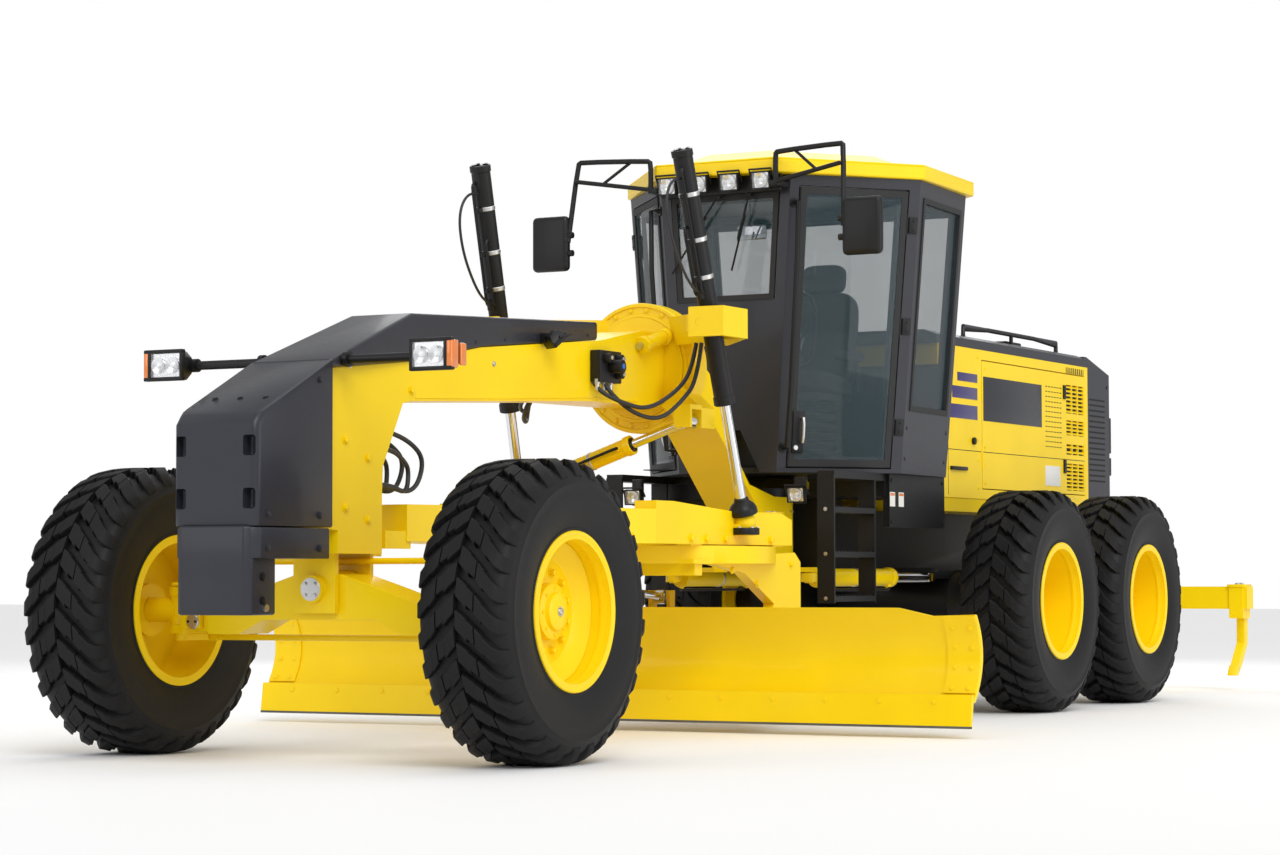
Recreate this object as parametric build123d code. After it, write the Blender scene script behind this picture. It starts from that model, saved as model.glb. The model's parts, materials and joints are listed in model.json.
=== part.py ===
from build123d import *
import math
import os

# Motor grader: front frame with counterweight, drawbar, circle and moldboard, hexagonal cab on
# the rear frame, engine hood, tandem drive and rear ripper. Sizes are millimetres.
# +X points forward, +Y to the machine's left and +Z up. The origin is on the ground, on the
# centre plane, under the front axle.

RUN = 0.3       # gap between a pin or shaft and its bore, and at a seat
WORK_GAP = 8.0  # gap between pieces that pass each other

# ---- wheels -------------------------------------------------------------------------------
TYRE_R, TYRE_W = 650.0, 445.0
BEAD_R = 318.0
FLANGE_R, FLANGE_HALF = 342.0, 200.0
RIM_WALL = 12.0
TRACK_HALF = 1030.0
AXLE_Z = TYRE_R
TANDEM_X, TANDEM_SPACING = -6495.0, 1525.0
FRONT_DISC_Y, REAR_DISC_Y = 30.0, -105.0  # wheel disc from the tyre's middle, outward positive
DISC_T = 22.0
HUB_R, HUB_BORE = 120.0, 46.0
SPINDLE_R = HUB_BORE - RUN

# wheel name, x, side (+1 left), disc place
WHEELS = [
    ("front_left", 0.0, 1, FRONT_DISC_Y),
    ("front_right", 0.0, -1, FRONT_DISC_Y),
    ("middle_left", TANDEM_X + TANDEM_SPACING / 2, 1, REAR_DISC_Y),
    ("middle_right", TANDEM_X + TANDEM_SPACING / 2, -1, REAR_DISC_Y),
    ("rear_left", TANDEM_X - TANDEM_SPACING / 2, 1, REAR_DISC_Y),
    ("rear_right", TANDEM_X - TANDEM_SPACING / 2, -1, REAR_DISC_Y),
]

# ---- front axle ---------------------------------------------------------------------------
AXLE_HALF, AXLE_DEPTH = 600.0, 115.0
PIVOT_Z, PIVOT_R = 745.0, 62.0
LEAN_Y, LEAN_Z, LEAN_PIN_R, LEAN_EYE_R = 700.0, 600.0, 26.0, 46.0
LEAN_BAR_X, LEAN_BAR_Z, LEAN_BAR_R = -104.0, 868.0, 14.0
KING_Y, KING_R = 830.0, 30.0
EYE_HALF, EAR_T = 58.0, 40.0
YOKE_LOW, YOKE_HIGH = 545.0, 755.0
TIE_X, TIE_Y, TIE_Z, TIE_R = -130.0, 790.0, 526.0, 14.0

# ---- front frame --------------------------------------------------------------------------
FRAME_HALF = 155.0
BLOCK_BACK = 320.0        # rear face of the counterweight
RING_X, RING_T = -2870.0, 110.0
RING_Z, RING_R, RING_BORE = 1885.0, 342.0, 265.0
COLUMN_LOW = 900.0
HITCH_X = -4300.0
HITCH_PIN_R = 45.0
HITCH_LOW, HITCH_HIGH = 830.0, 1240.0

# ---- work gear ----------------------------------------------------------------------------
BALL_X, BALL_Z = -300.0, 965.0
RAIL_IN, RAIL_OUT = 500.0, 620.0
DRAWBAR_LOW, DRAWBAR_HIGH, DRAWBAR_BACK = 958.0, 1126.0, -3360.0
CIRCLE_X, CIRCLE_R, CIRCLE_BORE = -2750.0, 740.0, 610.0
CIRCLE_LOW, CIRCLE_HIGH = 862.0, 950.0
ARM_IN, ARM_OUT = 580.0, 640.0
PITCH_X, PITCH_Z = -3040.0, 230.0
BLADE_X = -2750.0         # cutting edge's place
BLADE_HALF, BLADE_Y = 2115.0, -225.0
BLADE_LOW, BLADE_TOP, BLADE_BOW, BLADE_T, BLADE_STEPS = 175.0, 640.0, 105.0, 25.0, 12
BLADE_RAIL_BACK, BLADE_RAILS = -2960.0, ((470.0, 512.0), (205.0, 247.0))
EDGE_LOW, EDGE_HIGH, EDGE_T = 50.0, 215.0, 20.0

# lift cylinder: ball on the drawbar and top of the barrel, left side
LIFT_BALL = (-2740.0, 654.0, 1074.0)
LIFT_TOP = (-2185.0, 588.0, 2912.0)
LIFT_GLAND, LIFT_TRUNNION = 0.325, 0.54  # shares of the line from ball to top
LIFT_BARREL_R, LIFT_ROD_R, LIFT_SOCKET_R = 50.0, 27.0, 56.0
LIFT_PIVOT = tuple(a + (b - a) * LIFT_TRUNNION for a, b in zip(LIFT_BALL, LIFT_TOP))
GIMBAL_IN, GIMBAL_OUT, GIMBAL_HALF_H, GIMBAL_PIN_R = 72.0, 94.0, 44.0, 20.0

# the other cylinders, from the barrel's pin to the rod's eye
SHIFT_BASE, SHIFT_EYE = (-2700.0, -530.0, 1290.0), (-2700.0, 350.0, 1594.0)
HINGE_BASE, HINGE_EYE = (-3985.0, 420.0, 790.0), (-5560.0, 450.0, 790.0)
TILT_BASE, TILT_EYE = (-2290.0, 0.0, 760.0), (-3058.0, 0.0, 690.0)
RIPPER_BASE, RIPPER_EYE = (-8480.0, 0.0, 1120.0), (-9250.0, 0.0, 800.0)

# ---- cab: corners of the outer shell, left side, (x, half width) at the floor and the roof --
CAB_FLOOR_Z, CAB_ROOF_Z = 1366.0, 2995.0
CAB_A = ((-3830.0, 300.0), (-3810.0, 405.0))
CAB_B = ((-4400.0, 790.0), (-4405.0, 920.0))
CAB_C = ((-5180.0, 730.0), (-5200.0, 859.0))
CAB_WALL = 50.0
DOOR_GAP = 6.0

# ---- rear ---------------------------------------------------------------------------------
RAIL_LOW, RAIL_TOP = 780.0, 1180.0
RAIL_INNER, RAIL_OUTER = 150.0, 245.0
CASE_INNER, CASE_OUTER, CASE_HALF_H = 560.0, 740.0, 170.0
STEP_X = (-3720.0, -4250.0)
STEP_LOW = 652.0
STEP_Z = (660.0, 900.0, 1140.0)
HOOD_HALF, HOOD_FRONT, HOOD_BACK = 580.0, -5420.0, -7940.0
HOOD_LOW, HOOD_TOP = 1262.0, 2170.0
CAP_TOP = 2232.0
HOUSING_BACK = -8420.0
PANEL_T = 30.0
RIPPER_X, RIPPER_LOW, RIPPER_TOP, RIPPER_HALF = -9530.0, 565.0, 720.0, 1150.0
SHANK_Y = 1093.0
RIPPER_PIVOT = (-8470.0, 700.0)


# ---- shapes -------------------------------------------------------------------------------
def block(x0, x1, y0, y1, z0, z1):
    """A box between two corners."""
    return Pos((x0 + x1) / 2, (y0 + y1) / 2, (z0 + z1) / 2) * Box(x1 - x0, y1 - y0, z1 - z0)


def slab(axis, low, high, outline):
    """An outline in the other two axes, in their X, Y, Z order, drawn along one axis."""
    place = {
        "x": lambda a, b: (low, a, b),
        "y": lambda a, b: (a, low, b),
        "z": lambda a, b: (a, b, low),
    }[axis]
    along = {"x": (1, 0, 0), "y": (0, 1, 0), "z": (0, 0, 1)}[axis]
    face = make_face(Polyline(*[place(a, b) for a, b in outline], close=True))
    return extrude(face, amount=high - low, dir=along)


def bar(start, end, radius):
    """A round bar between two points."""
    way = Vector(*end) - Vector(*start)
    place = Plane(origin=start, z_dir=way)
    return place * Cylinder(radius, way.length, align=(Align.CENTER, Align.CENTER, Align.MIN))


def pin(centre, axis, radius, length):
    """A round bar centred on a point."""
    half = Vector(*axis).normalized() * (length / 2)
    return bar(tuple(Vector(*centre) - half), tuple(Vector(*centre) + half), radius)


def ring(centre, axis, outer, inner, length):
    """A round eye or collar."""
    return pin(centre, axis, outer, length) - pin(centre, axis, inner, length + 2)


def mirrored(shape):
    """The same piece on the machine's other side."""
    return mirror(shape, about=Plane.XZ)


def both(shape):
    return Compound(children=[*shape.solids(), *mirrored(shape).solids()])


def between(start, end, share):
    """The point a share of the way along a line."""
    return tuple(a + (b - a) * share for a, b in zip(start, end))


X, Y, Z = (1, 0, 0), (0, 1, 0), (0, 0, 1)


# ---- wheels -------------------------------------------------------------------------------
def turned(profile, x, side, y_mid):
    """A closed (radius, outward) outline turned about a wheel's axle."""
    face = make_face(Polyline(*[(x, y_mid + side * w, AXLE_Z + r) for r, w in profile], close=True))
    return revolve(face, Axis((x, 0, AXLE_Z), (0, 1, 0)), 360)


def tyre(x, side):
    half = TYRE_W / 2
    profile = [
        (BEAD_R, -185), (345, -188), (420, -214), (500, -half), (575, -215), (628, -196),
        (TYRE_R, -165), (TYRE_R, 165), (628, 196), (575, 215), (500, half), (420, 214),
        (345, 188), (BEAD_R, 185),
    ]
    return turned(profile, x, side, side * TRACK_HALF)


def rim(x, side, disc):
    """Barrel with its two flanges, and the disc and hub that the spindle carries."""
    outer, inner = BEAD_R - RUN, BEAD_R - RUN - RIM_WALL
    edge = FLANGE_HALF
    profile = [
        (inner, -edge), (FLANGE_R, -edge), (FLANGE_R, -edge + RIM_WALL), (outer, -edge + RIM_WALL),
        (outer, edge - RIM_WALL), (FLANGE_R, edge - RIM_WALL), (FLANGE_R, edge), (inner, edge),
        (inner, disc + DISC_T), (HUB_R, disc + DISC_T), (HUB_R, disc + 60), (HUB_BORE, disc + 60),
        (HUB_BORE, disc - 60), (HUB_R, disc - 60), (HUB_R, disc), (inner, disc),
    ]
    return turned(profile, x, side, side * TRACK_HALF)


# ---- front axle ---------------------------------------------------------------------------
def front_axle():
    """Beam on its centre pin, with an eye for each wheel yoke."""
    half = AXLE_DEPTH
    beam = slab("x", -half, half, [
        (-AXLE_HALF, 545), (-430, 545), (-300, 610), (300, 610), (430, 545), (AXLE_HALF, 545),
        (AXLE_HALF, 655), (330, 745), (120, 810), (-120, 810), (-330, 745), (-AXLE_HALF, 655),
    ])
    beam += pin((0, 0, PIVOT_Z), X, PIVOT_R + 22, 2 * half)
    for side in (1, -1):
        neck = sorted((side * (AXLE_HALF - 20), side * LEAN_Y))
        beam += block(-EYE_HALF, EYE_HALF, *neck, LEAN_Z - LEAN_EYE_R, LEAN_Z + LEAN_EYE_R)
        beam += pin((0, side * LEAN_Y, LEAN_Z), X, LEAN_EYE_R, 2 * EYE_HALF)
        beam -= pin((0, side * LEAN_Y, LEAN_Z), X, LEAN_PIN_R + RUN, 300)
    return beam - pin((0, 0, PIVOT_Z), X, PIVOT_R + RUN, 400)


def yoke():
    """Left wheel yoke: two cheeks on the lean pin, the lean-bar arm and the king-pin ears."""
    near, far = EYE_HALF + 6, EYE_HALF + 28
    inner, web = LEAN_Y - 38, LEAN_Y + LEAN_EYE_R + 6
    low, high = YOKE_LOW, YOKE_HIGH
    body = block(-far, -near, inner, web + 18, low + 25, LEAN_Z + 80)
    body += block(near, far, inner, web + 18, low + 25, LEAN_Z + 60)
    body += pin((0, LEAN_Y, LEAN_Z), X, LEAN_PIN_R, 2 * far)
    body += block(-far, far, web, web + 18, low, high)
    for z in (low, high - EAR_T):
        body += block(-55, 55, web, KING_Y, z, z + EAR_T)
        body += bar((0, KING_Y, z), (0, KING_Y, z + EAR_T), 55)
    # arm up to the stud that the lean bar hangs on
    body += slab("x", -far, -near, [
        (inner, LEAN_Z + 70), (web + 18, LEAN_Z + 70), (LEAN_Y + 26, LEAN_BAR_Z), (LEAN_Y, LEAN_BAR_Z + 26),
        (LEAN_Y - 26, LEAN_BAR_Z)])
    body += bar((-near, LEAN_Y, LEAN_BAR_Z), (LEAN_BAR_X - 13, LEAN_Y, LEAN_BAR_Z), 12)
    return body - bar((0, KING_Y, low - 1), (0, KING_Y, high + 1), KING_R + RUN)


def knuckle():
    """Left steering knuckle: king pin in the yoke's ears, its barrel, the spindle and the arm."""
    low, high = YOKE_LOW + EAR_T, YOKE_HIGH - EAR_T
    arm_low, arm_high = TIE_Z - 13, YOKE_LOW - 5
    disc = TRACK_HALF + FRONT_DISC_Y
    body = bar((0, KING_Y, low + RUN), (0, KING_Y, high - RUN), 50)
    body += bar((0, KING_Y, arm_low), (0, KING_Y, YOKE_HIGH + 8), KING_R)
    body += bar((0, KING_Y, AXLE_Z), (0, disc + 66, AXLE_Z), SPINDLE_R)
    body += bar((0, KING_Y, AXLE_Z), (0, disc - 62, AXLE_Z), 56)
    body += slab("z", arm_low, arm_high, [
        (22, KING_Y - 22), (22, KING_Y + 22), (TIE_X, TIE_Y + 12), (TIE_X, TIE_Y - 12)])
    return body + bar((TIE_X, TIE_Y, arm_low), (TIE_X, TIE_Y, arm_high), 12)


def tie_rod():
    """Bar close behind the two steering arms."""
    x = TIE_X - 12 - WORK_GAP - TIE_R - 6
    body = bar((x, -TIE_Y, TIE_Z), (x, TIE_Y, TIE_Z), TIE_R)
    for side in (1, -1):
        body += pin((x, side * (TIE_Y - 15), TIE_Z), Y, TIE_R + 5, 50)
    return body


def lean_bar():
    """Bar across the two yokes, with an eye at each end."""
    x, y, z = LEAN_BAR_X, LEAN_Y, LEAN_BAR_Z
    body = bar((x, -y, z), (x, y, z), LEAN_BAR_R)
    for side in (1, -1):
        body += pin((x, side * y, z), X, 25, 24)
    for side in (1, -1):
        body -= pin((x, side * y, z), X, 12 + RUN, 200)
    return body


# ---- front frame --------------------------------------------------------------------------
def front_frame():
    """Box beam from the counterweight to the hitch, with the column that carries the axle."""
    half = FRAME_HALF
    beam = slab("y", -half, half, [
        (BLOCK_BACK - RUN, 1010), (BLOCK_BACK - RUN, 1700), (220, 1705), (-400, 1769), (-980, 1870),
        (-2120, 1979), (-2560, 2058), (-3010, 2058), (-3320, 1880), (-3600, 1480), (-3790, 1300),
        (-4100, HITCH_HIGH), (HITCH_X + 40, HITCH_HIGH), (HITCH_X + 40, HITCH_LOW), (-4080, HITCH_LOW),
        (-3880, 1180),
        (-3540, 1470), (-3380, 1600), (-3150, 1680), (-1970, 1668), (-390, 1590), (-319, 1577),
        (-157, 1290), (-150, 1173), (-150, COLUMN_LOW), (195, COLUMN_LOW), (195, 1000),
    ])
    beam += bar((HITCH_X, 0, HITCH_LOW), (HITCH_X, 0, HITCH_HIGH), half)
    beam += block(HITCH_X, HITCH_X + 60, -half, half, HITCH_LOW, HITCH_HIGH)
    beam += pin((RING_X, 0, RING_Z), X, RING_BORE - RUN, RING_T + 30)
    beam -= bar((HITCH_X, 0, HITCH_LOW - 1), (HITCH_X, 0, HITCH_HIGH + 1), HITCH_PIN_R + RUN)
    # lugs either side of the axle beam, and the pin the axle rocks on
    for x0 in (-AXLE_DEPTH - 35, AXLE_DEPTH + WORK_GAP):
        beam += block(x0, x0 + 27, -110, 110, 640, COLUMN_LOW + 5)
    beam += pin((0, 0, PIVOT_Z), X, PIVOT_R, 2 * AXLE_DEPTH + 130)
    # fork for the drawbar's swivel
    for low, high in ((890, 908), (1022, 1045)):
        beam += block(BALL_X, -150, -45, 45, low, high) + bar((BALL_X, 0, low), (BALL_X, 0, high), 45)
    # ears for the articulation cylinders
    x, y, z = HINGE_BASE
    for side in (1, -1):
        beam += slab("z", z + 30, z + 56, [
            (x + 120, side * (half - 55)), (x - 38, side * (half - 55)), (x - 34, side * (y + 34)),
            (x + 34, side * (y + 34))])
        beam += slab("y", *sorted((side * (half - 55), side * (half - 10))), [
            (x - 38, z + 30), (x + 60, z + 30), (x + 100, 1190), (x - 60, 950)])
        beam += bar((x, side * y, z - 30), (x, side * y, z + 56), 24)
    return beam


def counterweight():
    """Front block: sloping top, a step under the sides and a toe that drops in front of the axle,
    with the cover that tapers back from it along the top of the frame."""
    main = slab("y", -215, 215, [
        (880, 1010), (880, 1440), (850, 1480), (BLOCK_BACK, 1736), (BLOCK_BACK, 1010),
    ])
    step = slab("y", -215, 215, [(880, 1010), (880, 870), (345, 880), (345, 1010)])
    toe = slab("y", -190, 190, [(900, 640), (900, 1010), (700, 1010), (706, 640)])
    shape = main + step + toe
    for z in (1345, 1125):
        for side in (1, -1):
            pocket = block(820, 900, -45, 45, z - 43, z + 43)
            shape -= Pos(0, side * 190, 0) * pocket
    profile = slab("y", -250, 250, [
        (BLOCK_BACK + 20, 1700 + RUN), (BLOCK_BACK + 20, 1730), (-375, 1986), (-2124, 2072),
        (-2110, 1979 + RUN), (-980, 1870 + RUN), (-400, 1769 + RUN), (220, 1705 + RUN),
    ])
    plan = slab("z", 1600, 2200, [
        (BLOCK_BACK + 20, -210), (-450, -168), (-2124, -150), (-2124, 150), (-450, 168),
        (BLOCK_BACK + 20, 210),
    ])
    return shape + (profile & plan)


def saddle_ring():
    """Ring round the frame, its two lift arms and the lug for the centre-shift cylinder."""
    x0, x1 = RING_X - RING_T / 2, RING_X + RING_T / 2
    tx, ty, tz = LIFT_PIVOT
    low, high = tz - 72, tz + 78
    body = pin((RING_X, 0, RING_Z), X, RING_R, RING_T)
    near, far, out = tx - GIMBAL_OUT - 10, tx + GIMBAL_OUT + 10, ty + GIMBAL_OUT + 12
    for side in (1, -1):
        body += slab("z", low, high, [
            (x0, side * 180), (x1, side * 180), (near, side * (ty - 60)), (near, side * out),
            (near - 60, side * out), (x0, side * 470),
        ])
        for a, b in ((near - 34, near), (far, far + 30)):
            body += block(a, b, *sorted((side * (ty - 60), side * (out + 30))), low, high)
        body += block(near - 34, far + 30, *sorted((side * out, side * (out + 30))), low, high)
        body -= pin((tx, side * ty, tz), X, GIMBAL_PIN_R + RUN, 600)
    # lug in front of the ring for the centre-shift cylinder's rod
    ex, ey, ez = SHIFT_EYE
    lug = [(150, ez + 100), (ey - 50, ez - 34), (ey + 50, ez - 34), (ey + 50, ez + 70), (250, ez + 200)]
    body += slab("x", x0 + 20, ex - 52, lug)
    body += slab("x", ex + 52, ex + 74, [(ey - 45, ez - 34), (ey + 50, ez - 34), (ey + 50, ez + 84), (ey - 45, ez + 84)])
    body += block(ex - 60, ex + 74, ey - 45, ey + 50, ez + 60, ez + 84)
    body -= pin((RING_X, 0, RING_Z), X, RING_BORE, 400)
    return body + pin(SHIFT_EYE, X, 18, 148)


def lift_gimbal():
    """Left lift cylinder's yoke: rocks in the lift arm about X and carries the barrel about Y."""
    tx, ty, tz = LIFT_PIVOT
    inner, outer, half = GIMBAL_IN, GIMBAL_OUT, GIMBAL_HALF_H
    body = block(tx - outer, tx + outer, ty - outer, ty + outer, tz - half, tz + half)
    body -= block(tx - inner, tx + inner, ty - inner, ty + inner, tz - half - 1, tz + half + 1)
    for side in (1, -1):
        body += pin((tx + side * (outer + 12), ty, tz), X, GIMBAL_PIN_R, 54)
    return body - pin(LIFT_PIVOT, Y, GIMBAL_PIN_R + RUN, 400)


def headlamps():
    body = bar((225, 211, 1738), (225, 640, 1738), 20)
    body += block(225 - 30, 245, 205.3, 221, 1710, 1736)
    body += block(190, 304, 600, 805, 1672, 1806)
    return both(body)


# ---- work gear ----------------------------------------------------------------------------
def drawbar_swivel():
    body = bar((BALL_X, 0, 908 + RUN), (BALL_X, 0, 1022 - RUN), 44)
    body += pin((BALL_X, 0, BALL_Z), Y, 24, 200)
    return body


def drawbar():
    """Two arms from the swivel to a box over the circle."""
    low, high = DRAWBAR_LOW, DRAWBAR_HIGH
    outer = slab("z", low, high, [
        (-430, -105), (-430, 105), (-1850, RAIL_OUT), (DRAWBAR_BACK, RAIL_OUT), (DRAWBAR_BACK, -RAIL_OUT),
        (-1850, -RAIL_OUT),
    ])
    outer -= slab("z", low - 1, high + 1, [(-900, 0), (-1800, 400), (-1800, -400)])
    outer -= block(-3240, -2060, -RAIL_IN + 60, RAIL_IN - 60, low - 1, high + 1)
    outer += block(-3000, -2500, -330, 330, low + 20, low + 80)
    outer += block(-3240, -2060, -60, 60, low + 20, low + 80)
    outer += block(-2810, -2640, -RAIL_IN, RAIL_IN, low + 20, low + 80)
    outer += slab("y", -RAIL_OUT, RAIL_OUT, [(-1850, high - 5), (-2030, high - 5), (-2690, high - 5),
                                             (-2690, high), (-2030, 1167), (-1850, 1167)]) \
        - block(-2700, -1840, -RAIL_IN, RAIL_IN, low, 1200)
    for side in (1, -1):
        outer += slab("z", BALL_Z - 40, BALL_Z + 40, [
            (-260, side * 60), (-470, side * 60), (-470, side * 100), (-260, side * 100)])
        outer -= pin((BALL_X, side * 80, BALL_Z), Y, 24 + RUN, 60)
        # wear shoes that the circle hangs in
        for x in (-2290, -3210):
            outer += block(x - 60, x + 60, *sorted((side * 530, side * 610)), CIRCLE_HIGH + RUN, low)
        # ball socket that the lift cylinder stands on
        x, y, z = LIFT_BALL
        outer += Pos(x, side * y, z) * Sphere(LIFT_SOCKET_R)
        outer += bar((x, side * y, z - 70), (x, side * y, z), 50)
        outer += block(x - 60, x + 60, *sorted((side * (RAIL_OUT - 10), side * y)), z - 70, z - 10)
    # plate beside the centre-shift cylinder's foot
    x, y, z = SHIFT_BASE
    outer += slab("x", x + 66, x + 88, [(y - 60, high - 20), (y + 90, high - 20), (y + 34, z + 20),
                                        (y, z + 36), (y - 34, z + 20)])
    return outer - slab("y", -700, 700, [(DRAWBAR_BACK - 1, high - 34), (DRAWBAR_BACK - 1, high + 1),
                                         (DRAWBAR_BACK + 130, high + 1)])


def circle():
    """Toothed ring with the two arms that carry the moldboard."""
    body = bar((CIRCLE_X, 0, CIRCLE_LOW), (CIRCLE_X, 0, CIRCLE_HIGH), CIRCLE_R)
    body -= bar((CIRCLE_X, 0, CIRCLE_LOW - 1), (CIRCLE_X, 0, CIRCLE_HIGH + 1), CIRCLE_BORE)
    for side in (1, -1):
        y0, y1 = sorted((side * ARM_IN, side * ARM_OUT))
        body += slab("y", y0, y1, [
            (-2200, CIRCLE_LOW), (-2200, CIRCLE_LOW + 20), (-3350, CIRCLE_LOW + 60), (-3420, CIRCLE_LOW + 10),
            (-3420, 600), (-3180, 170), (PITCH_X + 10, 165), (-2975, 220), (-3000, 420), (-3100, 655),
            (-2960, 720), (-2760, 815), (-2450, CIRCLE_LOW - 5),
        ])
        body -= pin((PITCH_X, side * 600, PITCH_Z), Y, 30 + RUN, 200)
    x, _, z = TILT_BASE
    body += block(x - 40, x + 40, -620, 620, CIRCLE_LOW - 60, CIRCLE_LOW)
    for y in (-52, 52):
        body += slab("y", y - 10, y + 10, [(x - 40, z + 45), (x - 40, z - 15), (x, z - 35), (x + 40, z - 15), (x + 40, z + 45)])
    body += pin(TILT_BASE, Y, 18, 120)
    return body


def pitch_carrier():
    """Frame that tilts on the circle's arms and guides the moldboard's two rails."""
    body = bar((PITCH_X, -600, PITCH_Z), (PITCH_X, 600, PITCH_Z), 30)
    for side in (1, -1):
        y0, y1 = sorted((side * 440, side * (ARM_IN - WORK_GAP)))
        body += slab("y", y0, y1, [
            (-2985, 180), (-3090, 170), (-3110, 300), (-3070, 560), (-2900, 600), (-2905, 560), (-2985, 520),
        ])
        for low, high in BLADE_RAILS:
            body += block(-2990, BLADE_RAIL_BACK - RUN, y0, y1, low, high)
    body += block(-3085, -3045, -560, 560, 380, 520)
    ex, _, ez = TILT_EYE
    for y in (-54, 54):
        body += slab("y", y - 10, y + 10, [(ex - 27, 500), (ex + 13, 500), (ex + 32, ez + 35), (ex - 32, ez + 35)])
    return body


def blade_curve(offset):
    """Points up the blade's curve, hollow to the front and shifted back by an offset."""
    middle, half = (BLADE_LOW + BLADE_TOP) / 2, (BLADE_TOP - BLADE_LOW) / 2
    points = []
    for step in range(BLADE_STEPS + 1):
        rise = 2 * step / BLADE_STEPS - 1
        points.append((BLADE_X - 12 - BLADE_BOW * (1 - rise ** 2) - offset, middle + half * rise))
    return points


def curved_plate(front, back, y0, y1):
    """A plate whose section lies between two offsets of the blade's curve."""
    return slab("y", y0, y1, blade_curve(front) + list(reversed(blade_curve(back))))


def moldboard():
    """Curved plate with its two slide rails and their ribs."""
    left, right = BLADE_Y + BLADE_HALF, BLADE_Y - BLADE_HALF
    body = curved_plate(0, BLADE_T, right, left)
    for low, high in BLADE_RAILS:
        body += block(BLADE_RAIL_BACK, -2930, right + 250, left - 250, low, high)
    for share in (0.0, 0.25, 0.5, 0.75, 1.0):
        y = right + 280 + share * (left - right - 560)
        rib = slab("y", y - 10, y + 10, [(-2780, 200), (-2958, 207), (-2958, 510), (-2800, 600)])
        rib -= curved_plate(-200, BLADE_T - 1, y - 12, y + 12)
        body += rib
    return body


def cutting_edge():
    """Bolted edge along the blade's foot and the overlay at each end."""
    left, right = BLADE_Y + BLADE_HALF, BLADE_Y - BLADE_HALF
    body = slab("y", right, left, [
        (BLADE_X + 10, EDGE_LOW), (BLADE_X + 30, EDGE_LOW), (BLADE_X + 8, EDGE_HIGH),
        (BLADE_X - 12 + RUN, EDGE_HIGH), (BLADE_X - 12 + RUN, BLADE_LOW)])
    return body - curved_plate(-0.2, BLADE_T, right - 1, left + 1)


# ---- cylinders ----------------------------------------------------------------------------
def barrel(base, gland, radius, rod_radius, eye_axis, pin_r):
    """Closed tube from its base eye to its gland."""
    way = (Vector(*gland) - Vector(*base)).normalized()
    start = tuple(Vector(*base) + way * (pin_r + 52))
    body = bar(start, gland, radius) + bar(base, start, 22)
    body += pin(base, eye_axis, pin_r + 20, 48)
    hollow = tuple(Vector(*base) + way * (pin_r + 80))
    body -= bar(hollow, tuple(Vector(*gland) + way), rod_radius + RUN)
    return body - pin(base, eye_axis, pin_r + RUN, 200)


def rod(start, eye, radius, eye_axis, pin_r):
    """Rod with its eye, which keeps its own short pin where the linkage is opened."""
    body = bar(start, eye, radius) + pin(eye, eye_axis, pin_r + 20, 44)
    return body + pin(eye, eye_axis, pin_r, 50)


def eyed_rod(start, eye, radius, eye_axis, pin_r):
    """Rod with a bored eye for a pin that another piece carries."""
    body = bar(start, eye, radius) + pin(eye, eye_axis, pin_r + 20, 100)
    return body - pin(eye, eye_axis, pin_r + RUN, 200)


def lift_barrel():
    """Left lift cylinder's barrel, held at mid length by its trunnion."""
    way = (Vector(*LIFT_TOP) - Vector(*LIFT_BALL)).normalized()
    collar = tuple(Vector(*LIFT_PIVOT) - way * 38)
    gland = between(LIFT_BALL, LIFT_TOP, LIFT_GLAND)
    body = bar(gland, LIFT_TOP, LIFT_BARREL_R)
    body += bar(collar, tuple(Vector(*LIFT_PIVOT) + way * 38), LIFT_BARREL_R + 10)
    body += pin(LIFT_PIVOT, Y, GIMBAL_PIN_R, 2 * GIMBAL_OUT)
    hollow = bar(tuple(Vector(*gland) - way), between(LIFT_BALL, LIFT_TOP, 0.98), LIFT_ROD_R + RUN)
    return body - hollow


def lift_rod():
    """Left lift cylinder's rod, which ends just above its ball socket."""
    way = (Vector(*LIFT_TOP) - Vector(*LIFT_BALL)).normalized()
    foot = tuple(Vector(*LIFT_BALL) + way * (LIFT_SOCKET_R + 14))
    neck = tuple(Vector(*LIFT_BALL) + way * (LIFT_SOCKET_R + 70))
    return bar(foot, between(LIFT_BALL, LIFT_TOP, 0.70), LIFT_ROD_R) + bar(foot, neck, LIFT_ROD_R + 9)


# ---- cab ----------------------------------------------------------------------------------
def corner(post, z, inset=0.0):
    """A cab corner's (x, half width) at a height."""
    share = (z - CAB_FLOOR_Z) / (CAB_ROOF_Z - CAB_FLOOR_Z)
    (x0, y0), (x1, y1) = post
    return x0 + (x1 - x0) * share, y0 + (y1 - y0) * share


def wall(start, end, low, high, thick, ends=(0.0, 0.0), out=0.0):
    """A flat panel between two posts, from one height to another, thick inward. ends are the
    gaps left at its two vertical edges and out moves it outward."""
    a0, b0 = Vector(*corner(start, low), 0), Vector(*corner(end, low), 0)
    a1, b1 = Vector(*corner(start, high), 0), Vector(*corner(end, high), 0)
    run0, run1 = (b0 - a0).normalized(), (b1 - a1).normalized()
    points = [a0 + run0 * ends[0], b0 - run0 * ends[1], b1 - run1 * ends[1], a1 + run1 * ends[0]]
    heights = [low, low, high, high]
    corners = [Vector(p.X, p.Y, z) for p, z in zip(points, heights)]
    normal = (corners[1] - corners[0]).cross(corners[3] - corners[0]).normalized()
    if normal.Y < 0 or (abs(normal.Y) < 1e-6 and normal.X > 0 and start is CAB_C):
        normal = normal * -1
    middle = Vector(-4500, 0, 2200)
    if (corners[0] - middle).dot(normal) < 0:
        normal = normal * -1
    plane = Plane(origin=corners[0], z_dir=normal)
    flat = [plane.from_local_coords(Vector(*list(plane.to_local_coords(c))[:2], 0)) for c in corners]
    face = make_face(Polyline(*[tuple(f + normal * out) for f in flat], close=True))
    return extrude(face, amount=thick, dir=tuple(normal * -1))


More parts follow.
